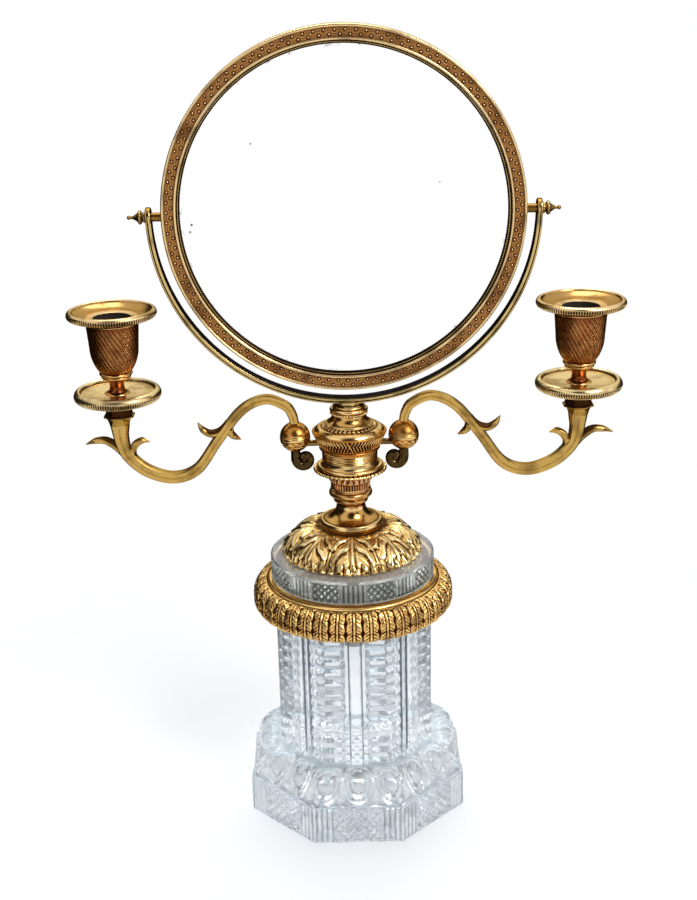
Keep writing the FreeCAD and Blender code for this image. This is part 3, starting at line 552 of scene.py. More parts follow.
# Each speck has its place from the pivot and its radius
specks = [(-84.5, -4.5, 0.9), (-85.5, -8.5, 0.8), (-50.0, 39.0, 0.6), (53.0, 16.0, 0.5)]
foxed_from = 88.6
foxed_to = 90.6
pitting = 0.00002
crystal_index = 1.54
gilding = gilding_group()
burnished = gilt("burnished_gilt", (0.90, 0.63, 0.27), (0.60, 0.34, 0.10), (0.05, 0.014, 0.004), 0.11)
chased = gilt("chased_gilt", (0.92, 0.60, 0.22), (0.47, 0.205, 0.042), (0.05, 0.010, 0.003), 0.18)
bright_gilt = gilt("bright_gilt", (1.0, 0.80, 0.42), (0.80, 0.50, 0.16), (0.06, 0.014, 0.003), 0.18)
pale_gilt = gilt("pale_gilt", (0.88, 0.69, 0.36), (0.67, 0.47, 0.21), (0.07, 0.025, 0.007), 0.16)
ochre = gilt("branch_gilt", (0.57, 0.36, 0.10), (0.38, 0.21, 0.035), (0.05, 0.016, 0.003), 0.20)
copper = gilt("worn_red_gilt", (0.72, 0.42, 0.15), (0.27, 0.072, 0.017), (0.025, 0.005, 0.002), 0.17)
red_gilt = gilt("red_gilt", (0.86, 0.54, 0.24), (0.42, 0.115, 0.028), (0.035, 0.007, 0.002), 0.16)
frame_gilt = gilt("frame_gilt", (0.84, 0.60, 0.30), (0.46, 0.27, 0.09), (0.04, 0.014, 0.005), 0.16)
dark_gilt = gilt("dark_gilt", (0.66, 0.47, 0.19), (0.26, 0.145, 0.035), (0.012, 0.006, 0.003), 0.16,
                 edge=0.35)
stamped = gilt("stamped_band_gilt", (1.0, 0.72, 0.40), (0.38, 0.175, 0.05), (0.06, 0.014, 0.005), 0.24)
olive_gilt = gilt("olive_gilt", (0.42, 0.30, 0.12), (0.06, 0.036, 0.012), (0.012, 0.007, 0.004), 0.14,
                  edge=0.3)
plain_gilt = gilt("plain_gilt", (0.45, 0.28, 0.08), (0.20, 0.10, 0.022), (0.03, 0.01, 0.003), 0.20,
                  marked=False)
soot_and_painted_shade = mottled("candle_soot", (0.030, 0.022, 0.016), (0.010, 0.007, 0.005), 300.0, 0.8)
# Crest colours of the crystal are painted white highlights, recess colours painted shade in the cuts.
clear_crystal = crystal("clear_crystal", (1.0, 1.0, 1.0), (0.88, 0.92, 0.945), (0.13, 0.16, 0.18),
                        (0.92, 0.95, 0.97), 0.14)
grey_crystal = crystal("grey_crystal", (1.0, 1.0, 0.98), (0.84, 0.87, 0.83), (0.12, 0.135, 0.115),
                       (0.80, 0.83, 0.82), 0.15)
plain_dress = {
    "iron": mottled("forged_iron", (0.20, 0.18, 0.17), (0.07, 0.05, 0.04), 160.0, 0.5, 0.9),
    "lead": mottled("chalky_lead", (0.62, 0.63, 0.64), (0.40, 0.41, 0.43), 120.0, 0.6, 0.4),
    "leather": mottled("washer_leather", (0.30, 0.17, 0.09), (0.14, 0.07, 0.035), 200.0, 0.7),
    "felt": mottled("green_felt", (0.10, 0.15, 0.10), (0.05, 0.08, 0.05), 400.0, 0.95),
    "board": mottled("back_board", (0.46, 0.32, 0.19), (0.28, 0.18, 0.10), 90.0, 0.8),
    "back_brass": back_brass(), "looking_glass": looking_glass(), "gilt_bronze": plain_gilt}


# Crystal pedestal

side_slope = math.tan(math.pi / 8)
plinth_height = 23.0
plinth_bevel = 0.9
flutes_per_end = 4
flute_pitch = 3.2
flute_depth = 1.5
flute_share = 1 - flutes_per_end * flute_pitch / (foot_high.x * side_slope)
diamond_pitch = 5.6
diamond_depth = 1.6
egg_count = 20
egg_height = 19.0
egg_bottom = 62.5
egg_top = 48.8
egg_half_width = 8.7
egg_half_height = 0.93
egg_dome = 0.52
dart_half_width = 1.7
dart_taper = 1.4
deck_height = plinth_height + egg_height
column_apothem = 46.0
column_half = column_apothem * side_slope
bar_rows = 12
bar_land = 3.2
bar_valley = 0.8
bar_depth = 2.6
bar_end_slope = 1.6
rib_proud = 1.0
rib_half = 3.3
slot_edge = rib_half + 0.8
slot_depth = 4.4
land_edge = 6.8
land_proud = 0.2
painted_shade_depths = {"plinth": 4.0, "flutes": 1.8, "column": 7.0}
ledge_shade = 0.66
bright_depth = 0.4
even_columns = 48
flute_columns = 16
wall_width = 0.16
plinth_rows = 36
egg_rows = 32


def sector_columns():
    """Shares across one side of the octagon, from -1 to 1, closer where walls and flutes stand."""
    even = [i / even_columns for i in range(even_columns + 1)]
    edges = (rib_half, slot_edge, land_edge)
    ends = (-0.5 * wall_width, 0.5 * wall_width)
    walls = [(edge + end) / column_half for edge in edges for end in ends]
    flutes = [flute_share + i * (1 - flute_share) / flute_columns for i in range(flute_columns + 1)]
    kept = [s for s in even if s < flute_share - 0.01 and min(abs(s - w) for w in walls) > 0.009]
    half = sorted(kept + walls + flutes)
    return [-s for s in reversed(half[1:])] + half


def pedestal_rows():
    """Zone, apothem, height and way along the egg band for each row of points, from the bottom up."""
    bevelled = foot_high.x - plinth_bevel
    face = plinth_height - 2 * plinth_bevel
    rows = [("plain", bevelled, 0.0, 0.0)]
    rows += [("plinth", foot_high.x, plinth_bevel + i * face / plinth_rows, 0.0)
             for i in range(plinth_rows + 1)]
    rows += [("plain", bevelled, plinth_height, 0.0), ("plain", egg_bottom + 0.6, plinth_height, 0.0)]
    for i in range(egg_rows + 1):
        turn = 0.5 * math.pi * i / egg_rows
        apothem = egg_top + (egg_bottom - egg_top) * math.cos(turn)
        rows.append(("eggs", apothem, plinth_height + egg_height * math.sin(turn), 2 * i / egg_rows - 1))
    pitch = (foot_high.z - deck_height) / bar_rows
    slope = 0.5 * (pitch - bar_land - bar_valley)
    valley = column_apothem - bar_depth
    for i in range(bar_rows):
        base = deck_height + i * pitch
        rows += [("column", valley, base, 0.0), ("column", column_apothem, base + slope, 0.0),
                 ("column", column_apothem, base + slope + bar_land, 0.0),
                 ("column", valley, base + pitch - bar_valley, 0.0)]
    return rows + [("column", valley, foot_high.z, 0.0)]


def egg_marks(angle, apothem, along):
    """How far out from the middle of an egg a point lies, and how near a dart.

    Along is -1 below and 1 above."""
    pitch = math.tau / egg_count
    across = (angle - pitch * round(angle / pitch)) * apothem
    gap = 0.5 * pitch * apothem - abs(across)
    dart = max(0.0, 1 - gap / (dart_half_width - dart_taper * along)) * window(-0.97, 0.6, 0.3, along)
    return math.hypot(across / egg_half_width, along / egg_half_height), dart


def egg_frames(egg):
    """The two raised lines round an egg, from 0 to 1."""
    return max(hump(egg - 0.70, 0.07), hump(egg - 0.97, 0.075))


def egg_relief(angle, apothem, along):
    """Eggs in double frames round the band, with darts between them."""
    egg, dart = egg_marks(angle, apothem, along)
    dome = 2.0 * math.sqrt(1 - (egg / egg_dome) ** 2) if egg < egg_dome else 0.0
    return (dome + 1.5 * max(egg_frames(egg), dart) - 1.0) * window(-1.02, 1.02, 0.12, along)


def egg_shade(angle, apothem, along):
    """Painted grey of the egg band: painted highlight lines round the eggs and darts, on a ground of painted
    shade.
    """
    egg, dart = egg_marks(angle, apothem, along)
    ground = 0.62 if egg < 0.5 else 0.72
    return ground - 0.42 * max(egg_frames(egg), dart) * step(0.95, 0.75, along)


def pedestal_apothem(zone, share, apothem, height, along, turn):
    """Distance of one point of the crystal from its axis, square to its side."""
    side = abs(share)
    if zone == "plinth" and side > flute_share:
        return apothem - 2 * flute_depth * saw((side - flute_share) / (1 - flute_share) * flutes_per_end)
    if zone == "plinth":
        across = share * apothem * side_slope / diamond_pitch
        upward = (height - 0.5 * plinth_height) / diamond_pitch
        return apothem - diamond_depth * crossed_cut(across, upward)
    if zone == "eggs":
        return apothem + egg_relief(turn + math.atan(share * side_slope), apothem, along)
    if zone == "column":
        offset = side * column_half
        if offset < rib_half:
            return column_apothem + rib_proud
        if offset < slot_edge:
            return column_apothem - slot_depth
        if offset < land_edge:
            return column_apothem + land_proud
        return min(apothem, column_apothem - bar_depth + bar_end_slope * (offset - land_edge))
    return apothem


def pedestal_shade(zone, share, apothem, reach, height, along, turn):
    """Painted grey of one point of the crystal: 0.5 is clear, 1 is painted shade deep in a cut, below 0.5
    painted highlight.
    """
    if zone == "eggs":
        return egg_shade(turn + math.atan(share * side_slope), apothem, along)
    # Plain rims and the column's foot get an even painted shade, which also tones down the glow at the
    # ledge.
    if zone == "plain" or height == deck_height:
        return ledge_shade
    depth = (column_apothem if zone == "column" else apothem) - reach
    if zone == "column" and depth > slot_depth - 0.1:
        return 1.0
    fluted = zone == "plinth" and abs(share) > flute_share
    shade = 0.5 + 0.5 * (depth - bright_depth) / painted_shade_depths["flutes" if fluted else zone]
    return min(1.0, max(0.0, shade))


def pedestal_side(turn):
    """One side of the crystal, with its middle at an angle from the front."""
    columns = sector_columns()
    rows = pedestal_rows()
    bm = bmesh.new()
    hollow = bm.verts.layers.float.new("hollow")
    bmesh.ops.create_grid(bm, x_segments=len(columns) - 1, y_segments=len(rows) - 1, size=0.5)
    for v in bm.verts:
        share = columns[round((v.co.x + 0.5) * (len(columns) - 1))]
        zone, apothem, height, along = rows[round((v.co.y + 0.5) * (len(rows) - 1))]
        reach = pedestal_apothem(zone, share, apothem, height, along, turn)
        # The hollow layer of the crystal holds its painted shade and painted highlights.
        v[hollow] = pedestal_shade(zone, share, apothem, reach, height, along, turn)
        v.co = (share * reach * side_slope, -reach, height)
    bmesh.ops.rotate(bm, cent=(0, 0, 0), matrix=Matrix.Rotation(turn, 3, "Z"), verts=bm.verts)
    return bm


def pedestal():
    """Fluted plinth, egg band and step-cut column of one crystal block, closed above and below."""
    bm = join(pedestal_side(0.0), pedestal_side(math.tau / 8))
    quarter = list(bm.verts) + list(bm.edges) + list(bm.faces)
    turn_about_z(bm, quarter, math.tau * 3 / 4, 3, copies=True)
    bmesh.ops.remove_doubles(bm, verts=bm.verts, dist=1e-3)
    bmesh.ops.holes_fill(bm, edges=[e for e in bm.edges if e.is_boundary], sides=0)
    bmesh.ops.recalc_face_normals(bm, faces=bm.faces)
    settle(bm, "pedestal_crystal", "stand", clear_crystal, "crystal_pedestal", "crystal", sharp=30)


pedestal()


# Crystal collar

collar_panels = 18
collar_flutes = 6
collar_flute_depth = 1.9
collar_diamonds = 4
collar_diamond_height = 4.3
collar_diamond_depth = 1.7
collar_bevel = 1.2
collar_shoulder = collar_high.z - 2.4
collar_boss = 35.5


def collar_relief(angle, radius, height):
    """Panels of upright flutes between panels of crossed cuts."""
    if radius < collar_high.x - 0.3:
        return 0.0
    panel = angle / math.tau * collar_panels
    across = panel - round(panel)
    field = window(collar_low.z + 0.8, collar_shoulder - collar_bevel - 0.4, 0.5, height)
    if round(panel) % 2 == 0:
        flutes = -2 * collar_flute_depth * saw(across * collar_flutes + 0.5)
        return flutes * field * window(-0.5, 0.5, 0.02, across)
    upward = (height - collar_low.z) / collar_diamond_height
    return -collar_diamond_depth * crossed_cut(across * collar_diamonds, upward) * field


def collar():
    """Cut disc with a lower outer step round a boss."""
    bm = turned([
        (0, collar_low.z), [collar_high.x - 1.2, collar_low.z], (collar_high.x, collar_low.z + 1.0),
        (collar_high.x, collar_shoulder - collar_bevel), [collar_high.x - collar_bevel, collar_shoulder],
        [collar_boss + 1.0, collar_shoulder], [collar_boss, collar_high.z], [0, collar_high.z]],
        steps=collar_panels * 32, row=0.5, closed=False)
    # The depth of the cuts is stored as painted shade for the crystal.
    settle(emboss(bm, collar_relief, 1.2, 0.5), "collar_crystal", "stand", grey_crystal, "crystal_collar",
           "crystal", sharp=25)


collar()


# Leaf ring and acanthus cap

ring_leaves = 38
ring_core_radius = 50.5
ring_core_height = ring_low.z + 8.4
ring_bore = 42.0
cap_leaves = 8
cap_lobes = 3.6
cap_inner = 17.0
cap_bore = 8.0
cap_rim = collar_shoulder + 0.3


def acanthus(across, along, lobes, turn):
    """Height of one leaf, 0 beside it, with its tip at along 1 and its middle at across 0."""
    side = abs(across)
    phase = lobes * (along - 0.30 * side * (1 + 0.6 * side)) + 0.10 * math.sin(9 * side + 4 * along + turn)
    lobe = phase - math.floor(phase)
    half = 0.46 + 0.56 * math.sin(math.pi * min(1.0, 0.10 + 0.74 * along)) ** 0.7
    half *= 0.70 + 0.30 * math.sqrt(math.sin(math.pi * min(1.0, 0.06 + 0.94 * lobe)))
    half *= 0.30 + 0.70 * math.sqrt(max(0.0, 1.0 - max(0.0, (along - 0.72) / 0.30) ** 2))
    if side > half or not 0 < along < 1.02:
        return 0.0
    crown = math.sqrt(max(0.0, 1 - (side / (half + 0.02)) ** 2))
    shingle = lobe ** 1.2 * step(1.0, 0.90, lobe) * step(0.06, 0.20, side)
    veins = wave(3 * phase) * step(0.12, 0.25, side)
    rib = hump(across, 0.05) - 0.8 * hump(side - 0.12, 0.045)
    return max(0.0, 0.24 + 0.30 * crown + 0.62 * shingle + 0.09 * veins + 0.20 * rib)


def ring_relief(angle, radius, height):
    """Leaves that lie over the ring, with stems, drooping veins and lobed edges, and gaps between them."""
    if radius < ring_core_radius:
        return 0.0
    along = (0.5 * math.pi - math.atan2(height - ring_core_height, radius - ring_core_radius)) / math.pi
    if not 0.02 < along < 0.97:
        return 0.0
    pitch = angle / math.tau * ring_leaves
    side = 2 * saw(pitch)
    lobes = 4.6 * along - 0.55 * side + 0.12 * math.sin(2.3 * round(pitch))
    edge = 0.83 + 0.16 * abs(math.sin(math.pi * lobes))
    veins = wave(3 * lobes) * window(0.18, edge, 0.12, side)
    stem = hump(side, 0.12) - 0.9 * hump(side - 0.22, 0.06)
    swell = abs(math.sin(math.pi * lobes)) * side
    leaf = 0.30 + 0.45 * (1 - side * side) + 0.32 * veins + 0.28 * stem + 0.40 * swell
    return (1.5 * leaf * step(edge + 0.06, edge - 0.12, side) - 0.75) * window(0.03, 0.91, 0.18, along)


def leaf_ring():
    """Ring of cast leaves, with painted shade on its lower part."""
    high, low = ring_high.z, ring_low.z
    bm = turned([
        (ring_bore, high), [50.2, high], ((51.0, high - 1.2), (52.4, high - 0.9)),
        ((57.6, high - 4.6), (59.0, low + 6.8)), ((58.4, low + 2.6), (55.0, low + 0.4)),
        (52.5, low), [ring_bore, low]], steps=ring_leaves * 28, row=0.5)
    # Painted shade on the lower part of the ring.
    stain_and_shade(emboss(bm, ring_relief), lambda p: 0.20 * window(low + 0.6, low + 9, 2.4, p.z), "soot_and_painted_shade")
    settle(bm, "leaf_ring_cast", "stand", chased, "leaf_ring", sharp=60, passes=9, depth=0.24)


def cap_relief(angle, radius, height):
    """Large leaves spread from the stem, with smaller tips between them."""
    along = (radius - cap_inner) / (cap_high.x - cap_inner)
    if not 0.0 < along < 1.02 or height < cap_rim + 1.0:
        return 0.0
    pitch = angle / math.tau * cap_leaves
    across = 2 * (pitch - round(pitch))
    leaf = acanthus(across, 0.14 + 0.86 * along, cap_lobes, 1.9 * round(pitch))
    small = across - math.copysign(1, across)
    under = 0.6 * acanthus(small * 1.5, 0.14 + 0.84 * along, cap_lobes, 1.0)
    return (2.4 * max(leaf, under) - 1.1) * step(0.12, 0.40, along)


def notch_cap(bm):
    """Draws in the cap's edge between the points of its leaves."""
    for v in bm.verts:
        radius = math.hypot(v.co.x, v.co.y)
        reach = (radius - cap_inner) / (cap_high.x - cap_inner)
        pitch = math.atan2(v.co.x, -v.co.y) / math.tau * cap_leaves
        points = abs(math.sin(math.pi * 6 * pitch)) ** 0.6
        deep = 1.6 + 1.6 * saw(pitch)
        drawn = (1 - points) * deep * step(0.84, 1.0, reach) / radius
        lift = 0.7 * points * step(0.86, 1.0, reach) * (1 if v.co.z > cap_rim + 0.6 else 0)
        v.co = Vector((v.co.x * (1 - drawn), v.co.y * (1 - drawn), v.co.z + lift))
    return bm


def acanthus_cap():
    """Domed casting of leaves, with painted shadow towards the stem, under the stem's foot."""
    high = cap_high.z
    bm = turned([
        (cap_bore, high - 1.6), [cap_inner, high - 1.6], ((32.0, high - 6.2), (41.2, cap_rim + 1.7)),
        ((41.8, cap_rim + 0.9), (41.3, cap_rim + 0.1)), (38.4, cap_rim), (37.2, cap_rim + 1.5),
        [27.0, high - 8.0], [cap_bore, high - 4.6]], steps=cap_leaves * 96, row=0.5)
    notch_cap(emboss(bm, cap_relief))
    # Painted shadow of the stem's foot on the middle of the cap.
    stain_and_shade(bm, lambda p: 0.32 * step(26, 18, math.hypot(p.x, p.y)), "soot_and_painted_shade")
    settle(bm, "acanthus_cap_cast", "stand", bright_gilt, "acanthus_cap", sharp=60, passes=9, depth=0.38)


leaf_ring()
acanthus_cap()


# Turned stem and vase, threaded on the rod

rod_hole = 5.0
calyx_ticks = 44
calyx_leaves = 22
saucer_scallops = 46
drum_line_pitch = 1.05
belt_strokes = 64
shoulder_points = 36
knurl_ticks = 44


def stem_piece(node, points, material, relief=None, steps=128, row=0.5, depth=0.2, stain_and_shade_depth=0.0):
    """One turned piece of the stem. Heights count from the node's foot."""
    base = corners(node)[0].z
    raised = []
    for point in points:
        if isinstance(point[0], tuple):
            raised.append(tuple((r, base + z) for r, z in point))
        else:
            raised.append((point[0], base + point[1]))
    bm = turned(raised, steps, row)
    if relief:
        emboss(bm, lambda angle, radius, height: relief(angle, radius, height - base), stain_and_shade_depth)
    settle(bm, node + "_turned", "stand", material, node, depth=depth)


def calyx_relief(angle, radius, height):
    """Upright ticks below and small arched leaves above."""
    if radius < 9:
        return 0.0
    ticks = -0.55 * (1 - wave(angle / math.tau * calyx_ticks)) * window(0.4, 4.6, 0.5, height)
    pitch = angle / math.tau * calyx_leaves
    share = 2 * (pitch - round(pitch))
    arch = 1 - math.hypot(share * 1.1, (height - 5.2) / 3.6)
    leaves = 0.75 * step(0.0, 0.35, arch) * (0.7 + 0.3 * wave(share * 1.5)) * window(4.8, 9.2, 0.3, height)
    return ticks + leaves


def saucer_relief(angle, radius, height):
    """Scalloped lip."""
    return 0.45 * wave(angle / math.tau * saucer_scallops) * step(19.6, 20.6, radius)


def drum_relief(angle, radius, height):
    """Fine turned lines round the middle of the drum."""
    lines = -0.32 * (1 - wave(height / drum_line_pitch))
    return lines * window(3.0, 8.4, 0.4, height) * step(12, 14, radius)


def belt_relief(angle, radius, height):
    """Two rows of slanted strokes that meet in a point, turned towards the front and the back."""
    field = window(2.2, 9.8, 0.4, height) * step(14, 16, radius)
    lean = math.copysign(1, angle) * (1 if abs(angle) < math.pi / 2 else -1)
    stroke = wave(belt_strokes * angle / math.tau - 0.26 * lean * abs(height - 6.6))
    return (stroke - 0.6) * field


def shoulder_relief(angle, radius, height):
    """Chased band of small points below the ledge."""
    pitch = angle / math.tau * shoulder_points
    point = wave(pitch + 0.10 * math.sin(3 * radius)) * window(13.8, 16.4, 0.7, radius)
    return 0.45 * (point - 0.5) * window(2.6, 4.1, 0.3, height)


def collar_knurl(angle, radius, height):
    """Milled edge of the small ring under the yoke."""
    ticks = 0.5 * wave(angle / math.tau * knurl_ticks)
    return ticks * window(0.2, 1.5, 0.3, height) * step(9.4, 9.9, radius)


stem_piece("stem_foot", [
    (rod_hole, -1.2), (17.6, -1.2), ((18.6, 0.4), (18.2, 1.9)), ((17.9, 2.7), (17.2, 2.8)), (16.2, 2.6),
    ((10.8, 5.6), (8.7, 10.2)), (8.4, 11.1), (rod_hole, 11.1)], burnished)
stem_piece("stem_knop", [
    (rod_hole, 0), (8.4, 0), (8.4, 1.6), (9.0, 2.0), ((10.3, 4.1), (9.2, 5.6)), (9.4, 6.2),
    ((12.8, 8.2), (11.4, 9.8)), (10.9, 10.0), ((12.0, 10.5), (11.2, 11.1)), (rod_hole, 11.1)],
    copper, depth=0.8)
stem_piece("fluted_calyx", [
    (rod_hole, 0), (11.6, 0), (11.8, 4.4), (12.0, 4.7), ((12.4, 7.0), (12.9, 9.3)),
    ((13.4, 9.9), (12.9, 10.5)), (rod_hole, 10.6)],
    red_gilt, calyx_relief, steps=calyx_ticks * 6, row=0.35, depth=0.45)
stem_piece("vase_saucer", [
    (rod_hole, 0), (12.6, 0), ((17.4, 0.3), (20.6, 0.9)), ((21.3, 1.4), (20.7, 1.9)), (18.8, 1.9),
    ((19.4, 3.1), (17.4, 4.2)), (rod_hole, 4.2)],
    burnished, saucer_relief, steps=saucer_scallops * 6, row=0.4)
stem_piece("vase_drum", [
    (rod_hole, 0), (17.2, 0), ((16.3, 1.4), (16.2, 2.8)), (16.4, 8.0), ((16.8, 9.0), (17.2, 9.5)),
    (rod_hole, 9.5)], burnished, drum_relief, row=0.16)
stem_piece("vase_belt", [
    (rod_hole, 0), (16.9, 0), ((17.9, 0.8), (17.2, 1.6)), (17.6, 1.9), (21.2, 10.0),
    ((21.9, 10.5), (21.2, 11.0)), (rod_hole, 11.0)],
    chased, belt_relief, steps=belt_strokes * 12, row=0.4, stain_and_shade_depth=0.5)
stem_piece("vase_shoulder", [
    (rod_hole, 0), (20.6, 0), ((19.0, 2.0), (16.2, 2.9)), (14.0, 3.9), ((14.5, 4.3), (13.9, 4.7)),
    ((13.7, 5.1), (13.0, 5.2)), ((10.9, 7.0), (10.0, 9.6)), (9.8, 10.0), (rod_hole, 10.0)],
    burnished, shoulder_relief, steps=shoulder_points * 8, row=0.3)
stem_piece("yoke_collar", [
    (rod_hole, 0), (9.8, 0), ((10.6, 0.8), (9.8, 1.6)), (9.9, 1.7), ((11.2, 2.9), (9.7, 4.1)), (8.9, 4.2),
    ((9.5, 4.9), (8.8, 5.5)), (8.8, 6.0), (rod_hole, 6.0)],
    burnished, collar_knurl, steps=216, row=0.3)


# Yoke

yoke_thickness = 3.0
yoke_depth = 9.0
yoke_outer = yoke_high.x
yoke_inner = yoke_outer - yoke_thickness
yoke_reed = 0.3
peg_hole = 2.1


def hoop():
    """Half hoop with a reeded front and back."""
    inner, outer = yoke_inner, yoke_outer
    front = yoke_depth / 2 - yoke_reed
    groove = inner + 0.62 * yoke_thickness
    inner_reed = 0.5 * (inner + groove)
    outer_reed = 0.5 * (groove + outer)
    section = [(inner, front), ((inner_reed, front + yoke_reed), (groove, front)),
               ((outer_reed, front + yoke_reed), (outer, front)), (outer, -front),
               ((outer_reed, -front - yoke_reed), (groove, -front)),
               ((inner_reed, -front - yoke_reed), (inner, -front))]
    bm = bmesh.new()
    verts = [bm.verts.new((p.x, 0, p.y)) for p in outline(section + [section[0]], 0.25)[:-1]]
    edges = [bm.edges.new(pair) for pair in zip(verts, verts[1:] + verts[:1])]
    turn_about_z(bm, verts + edges, math.pi, 120)
    bmesh.ops.holes_fill(bm, edges=[e for e in bm.edges if e.is_boundary], sides=0)
    bmesh.ops.rotate(bm, cent=(0, 0, 0), matrix=Matrix.Rotation(math.pi / 2, 3, "X"), verts=bm.verts)
    bmesh.ops.scale(bm, vec=(1, 1, -1), verts=bm.verts)
    bmesh.ops.translate(bm, vec=(0, 0, pivot_z), verts=bm.verts)
    bmesh.ops.recalc_face_normals(bm, faces=bm.faces)
    return bm


def yoke_eye(sign):
    """Round eye for a peg at one end of the hoop."""
    inner, outer = yoke_inner, yoke_outer
    bm = turned([
        (peg_hole, inner), (4.6, inner), ((5.3, inner + 0.2), (5.5, inner + 0.9)), (5.5, outer - 0.9),
        ((5.3, outer - 0.2), (4.6, outer)), (peg_hole, outer)], steps=64, row=0.5)
    return along_x(bm, sign)


def yoke_painted_shade_and_lines(point):
    """Painted shade on the lower inside of the hoop, and two pale lines along its front and its back."""
    radius = math.hypot(point.x, point.z - pivot_z)
    if abs(point.y) > yoke_depth / 2 - 0.5:
        across = (radius - yoke_inner) / yoke_thickness
        lines = window(-0.2, 0.56, 0.06, across) + window(0.66, 1.2, 0.06, across)
        return 0.92 - 0.66 * lines
    # Painted shade on the lower inside of the hoop, where the mirror shades it.
    return 0.97 if radius < yoke_inner + 0.3 and point.z < pivot_z - 6 else 0.45


def yoke():
    """Half hoop with an eye at each end and a pad under it."""
    low = yoke_low.z
    pad = turned([
        (0, low), (7.5, low), ((8.0, low + 0.5), (7.5, low + 1.0)), (6.0, low + 2.6), (0, low + 2.6)],
        steps=64, row=0.6, closed=False)
    whole = join(hoop(), pad, *[yoke_eye(sign) for side, sign in SIDES])
    settle(stain_and_shade(whole, yoke_painted_shade_and_lines), "yoke_hoop", "stand", dark_gilt, "yoke")


yoke()


# Mirror frame

bezel_ticks = 360
bezel_lip = bezel_low.y + 0.5
band_outer = band_high.x
band_inner = band_outer - 5.2
band_pit = 1.1
bead_rows = (band_inner + 1.35, band_outer - 1.35)
bead_pairs = 108
bead_radius = 0.58
sight_outer = sight_high.x
sight_inner = sight_outer - 1.9
sight_ticks = 432


def bezel_relief(angle, radius, height):
    """Milling on the outer edge of the front."""
    ticks = 0.16 * wave(angle / math.tau * bezel_ticks)
    return (ticks * step(bezel_high.x - 1.0, bezel_high.x - 0.6, radius)
            * window(bezel_low.y, -2.6, 0.4, height))


def bezel():
    """Frame with a bead on each side of the stamped band, the outer one milled."""
    outer, front, back, lip = bezel_high.x, bezel_low.y, bezel_high.y, bezel_lip
    seat = sight_outer + 0.1
    bm = turned([
        (seat, sight_high.y), [seat, lip], ((0.5 * (seat + band_inner), front), (band_inner, lip)),
        [band_inner, lip + 0.8], [band_outer, lip + 0.8], [band_outer, lip + 0.3], [outer - 0.4, lip + 0.6],
        (outer - 0.4, -1.6), (outer - 0.4, -0.4), (outer, 0.0), [outer, back - 0.6],
        [outer - 0.6, back], [outer - 4.1, back], [outer - 4.1, sight_high.y]], steps=360, row=0.4)
    bead = turned([
        (band_outer, lip + 0.4), (band_outer, lip),
        ((0.5 * (band_outer + outer), front), (outer - 0.1, lip + 0.3)),
        (outer - 0.1, -2.4), (outer - 0.4, -2.2)], steps=bezel_ticks * 4, row=0.4)
    bm = face_front(join(bm, emboss(bead, bezel_relief)))
    settle(bm, "bezel_ring", "mirror", frame_gilt, "mirror_bezel", passes=6, depth=0.25)


def bead_gap(angle, radius):
    """Distance to the middle of the nearest bead."""
    gaps = []
    for row, middle in enumerate(bead_rows):
        count = angle / math.tau * bead_pairs - 0.5 * row
        gaps.append(math.hypot((count - round(count)) * math.tau * middle / bead_pairs, radius - middle))
    return min(gaps)


def band_relief(angle, radius, height):
    """Wavy line between two rows of beads, each in a sunk ring, on a pitted ground."""
    if height > band_low.y + 0.5:
        return 0.0
    offset = (radius - 0.5 * (band_outer + band_inner)) / (0.5 * (band_outer - band_inner))
    line = hump(offset - 0.10 * math.cos(angle * bead_pairs), 0.13)
    ring = hump(bead_gap(angle, radius) - bead_radius - 0.15, 0.35)
    shifted = angle / math.tau * bead_pairs * 4 + 0.5 * math.floor(radius / band_pit)
    pits = wave(shifted) * wave(radius / band_pit)
    return 0.05 * line - 0.20 * ring - 0.16 * pits * step(1.0, 1.5, bead_gap(angle, radius))


def band_beads():
    """Two staggered rows of small beads on the ornament band."""
    bm = bmesh.new()
    for row, radius in enumerate(bead_rows):
        for i in range(bead_pairs):
            turn = math.tau * (i + 0.5 * row) / bead_pairs
            at = Matrix.Translation((radius * math.sin(turn), -radius * math.cos(turn), band_low.y + 0.35))
            bmesh.ops.create_icosphere(bm, subdivisions=2, radius=bead_radius, matrix=at)
    return bm


def ornament_band():
    """Stamped band with its beads, sunk between the bezel's beads."""
    ground = bezel_lip + 0.45
    bm = turned([
        (band_inner, band_high.y), (band_inner, ground), (band_outer, ground), (band_outer, band_high.y)],
        steps=bead_pairs * 20, row=0.3)
    bm = join(emboss(bm, band_relief, 0.22), stain_and_shade(band_beads(), lambda p: 0.1))
    settle(face_front(bm), "stamped_band", "mirror", stamped, "ornament_band", "stamped_gilt")


def sight_stain(point):
    """Dark line beside the glass, a pale milled one in the middle and a lighter edge at the bezel."""
    across = (math.hypot(point.x, point.z - pivot_z) - sight_inner) / (sight_outer - sight_inner)
    tick = wave(math.atan2(point.x, point.z - pivot_z) / math.tau * sight_ticks)
    return 0.97 - (0.35 + 0.45 * tick) * window(0.36, 0.74, 0.12, across) - 0.4 * step(0.86, 0.95, across)


def sight_ring():
    """Small turned ring between the bezel and the glass."""
    inner, outer = sight_inner, sight_outer
    bm = turned([
        (inner, sight_high.y), (inner + 0.1, sight_low.y + 0.9),
        ((0.5 * (inner + outer), sight_low.y), (outer, sight_low.y + 0.7)), (outer, sight_high.y)],
        steps=sight_ticks * 4, row=0.2)
    settle(stain_and_shade(face_front(bm), sight_stain), "sight_ring_turned", "mirror", dark_gilt, "sight_ring")


bezel()
ornament_band()
sight_ring()


# Finial nuts

nut_hole = 2.05
nut_ball = 1.2


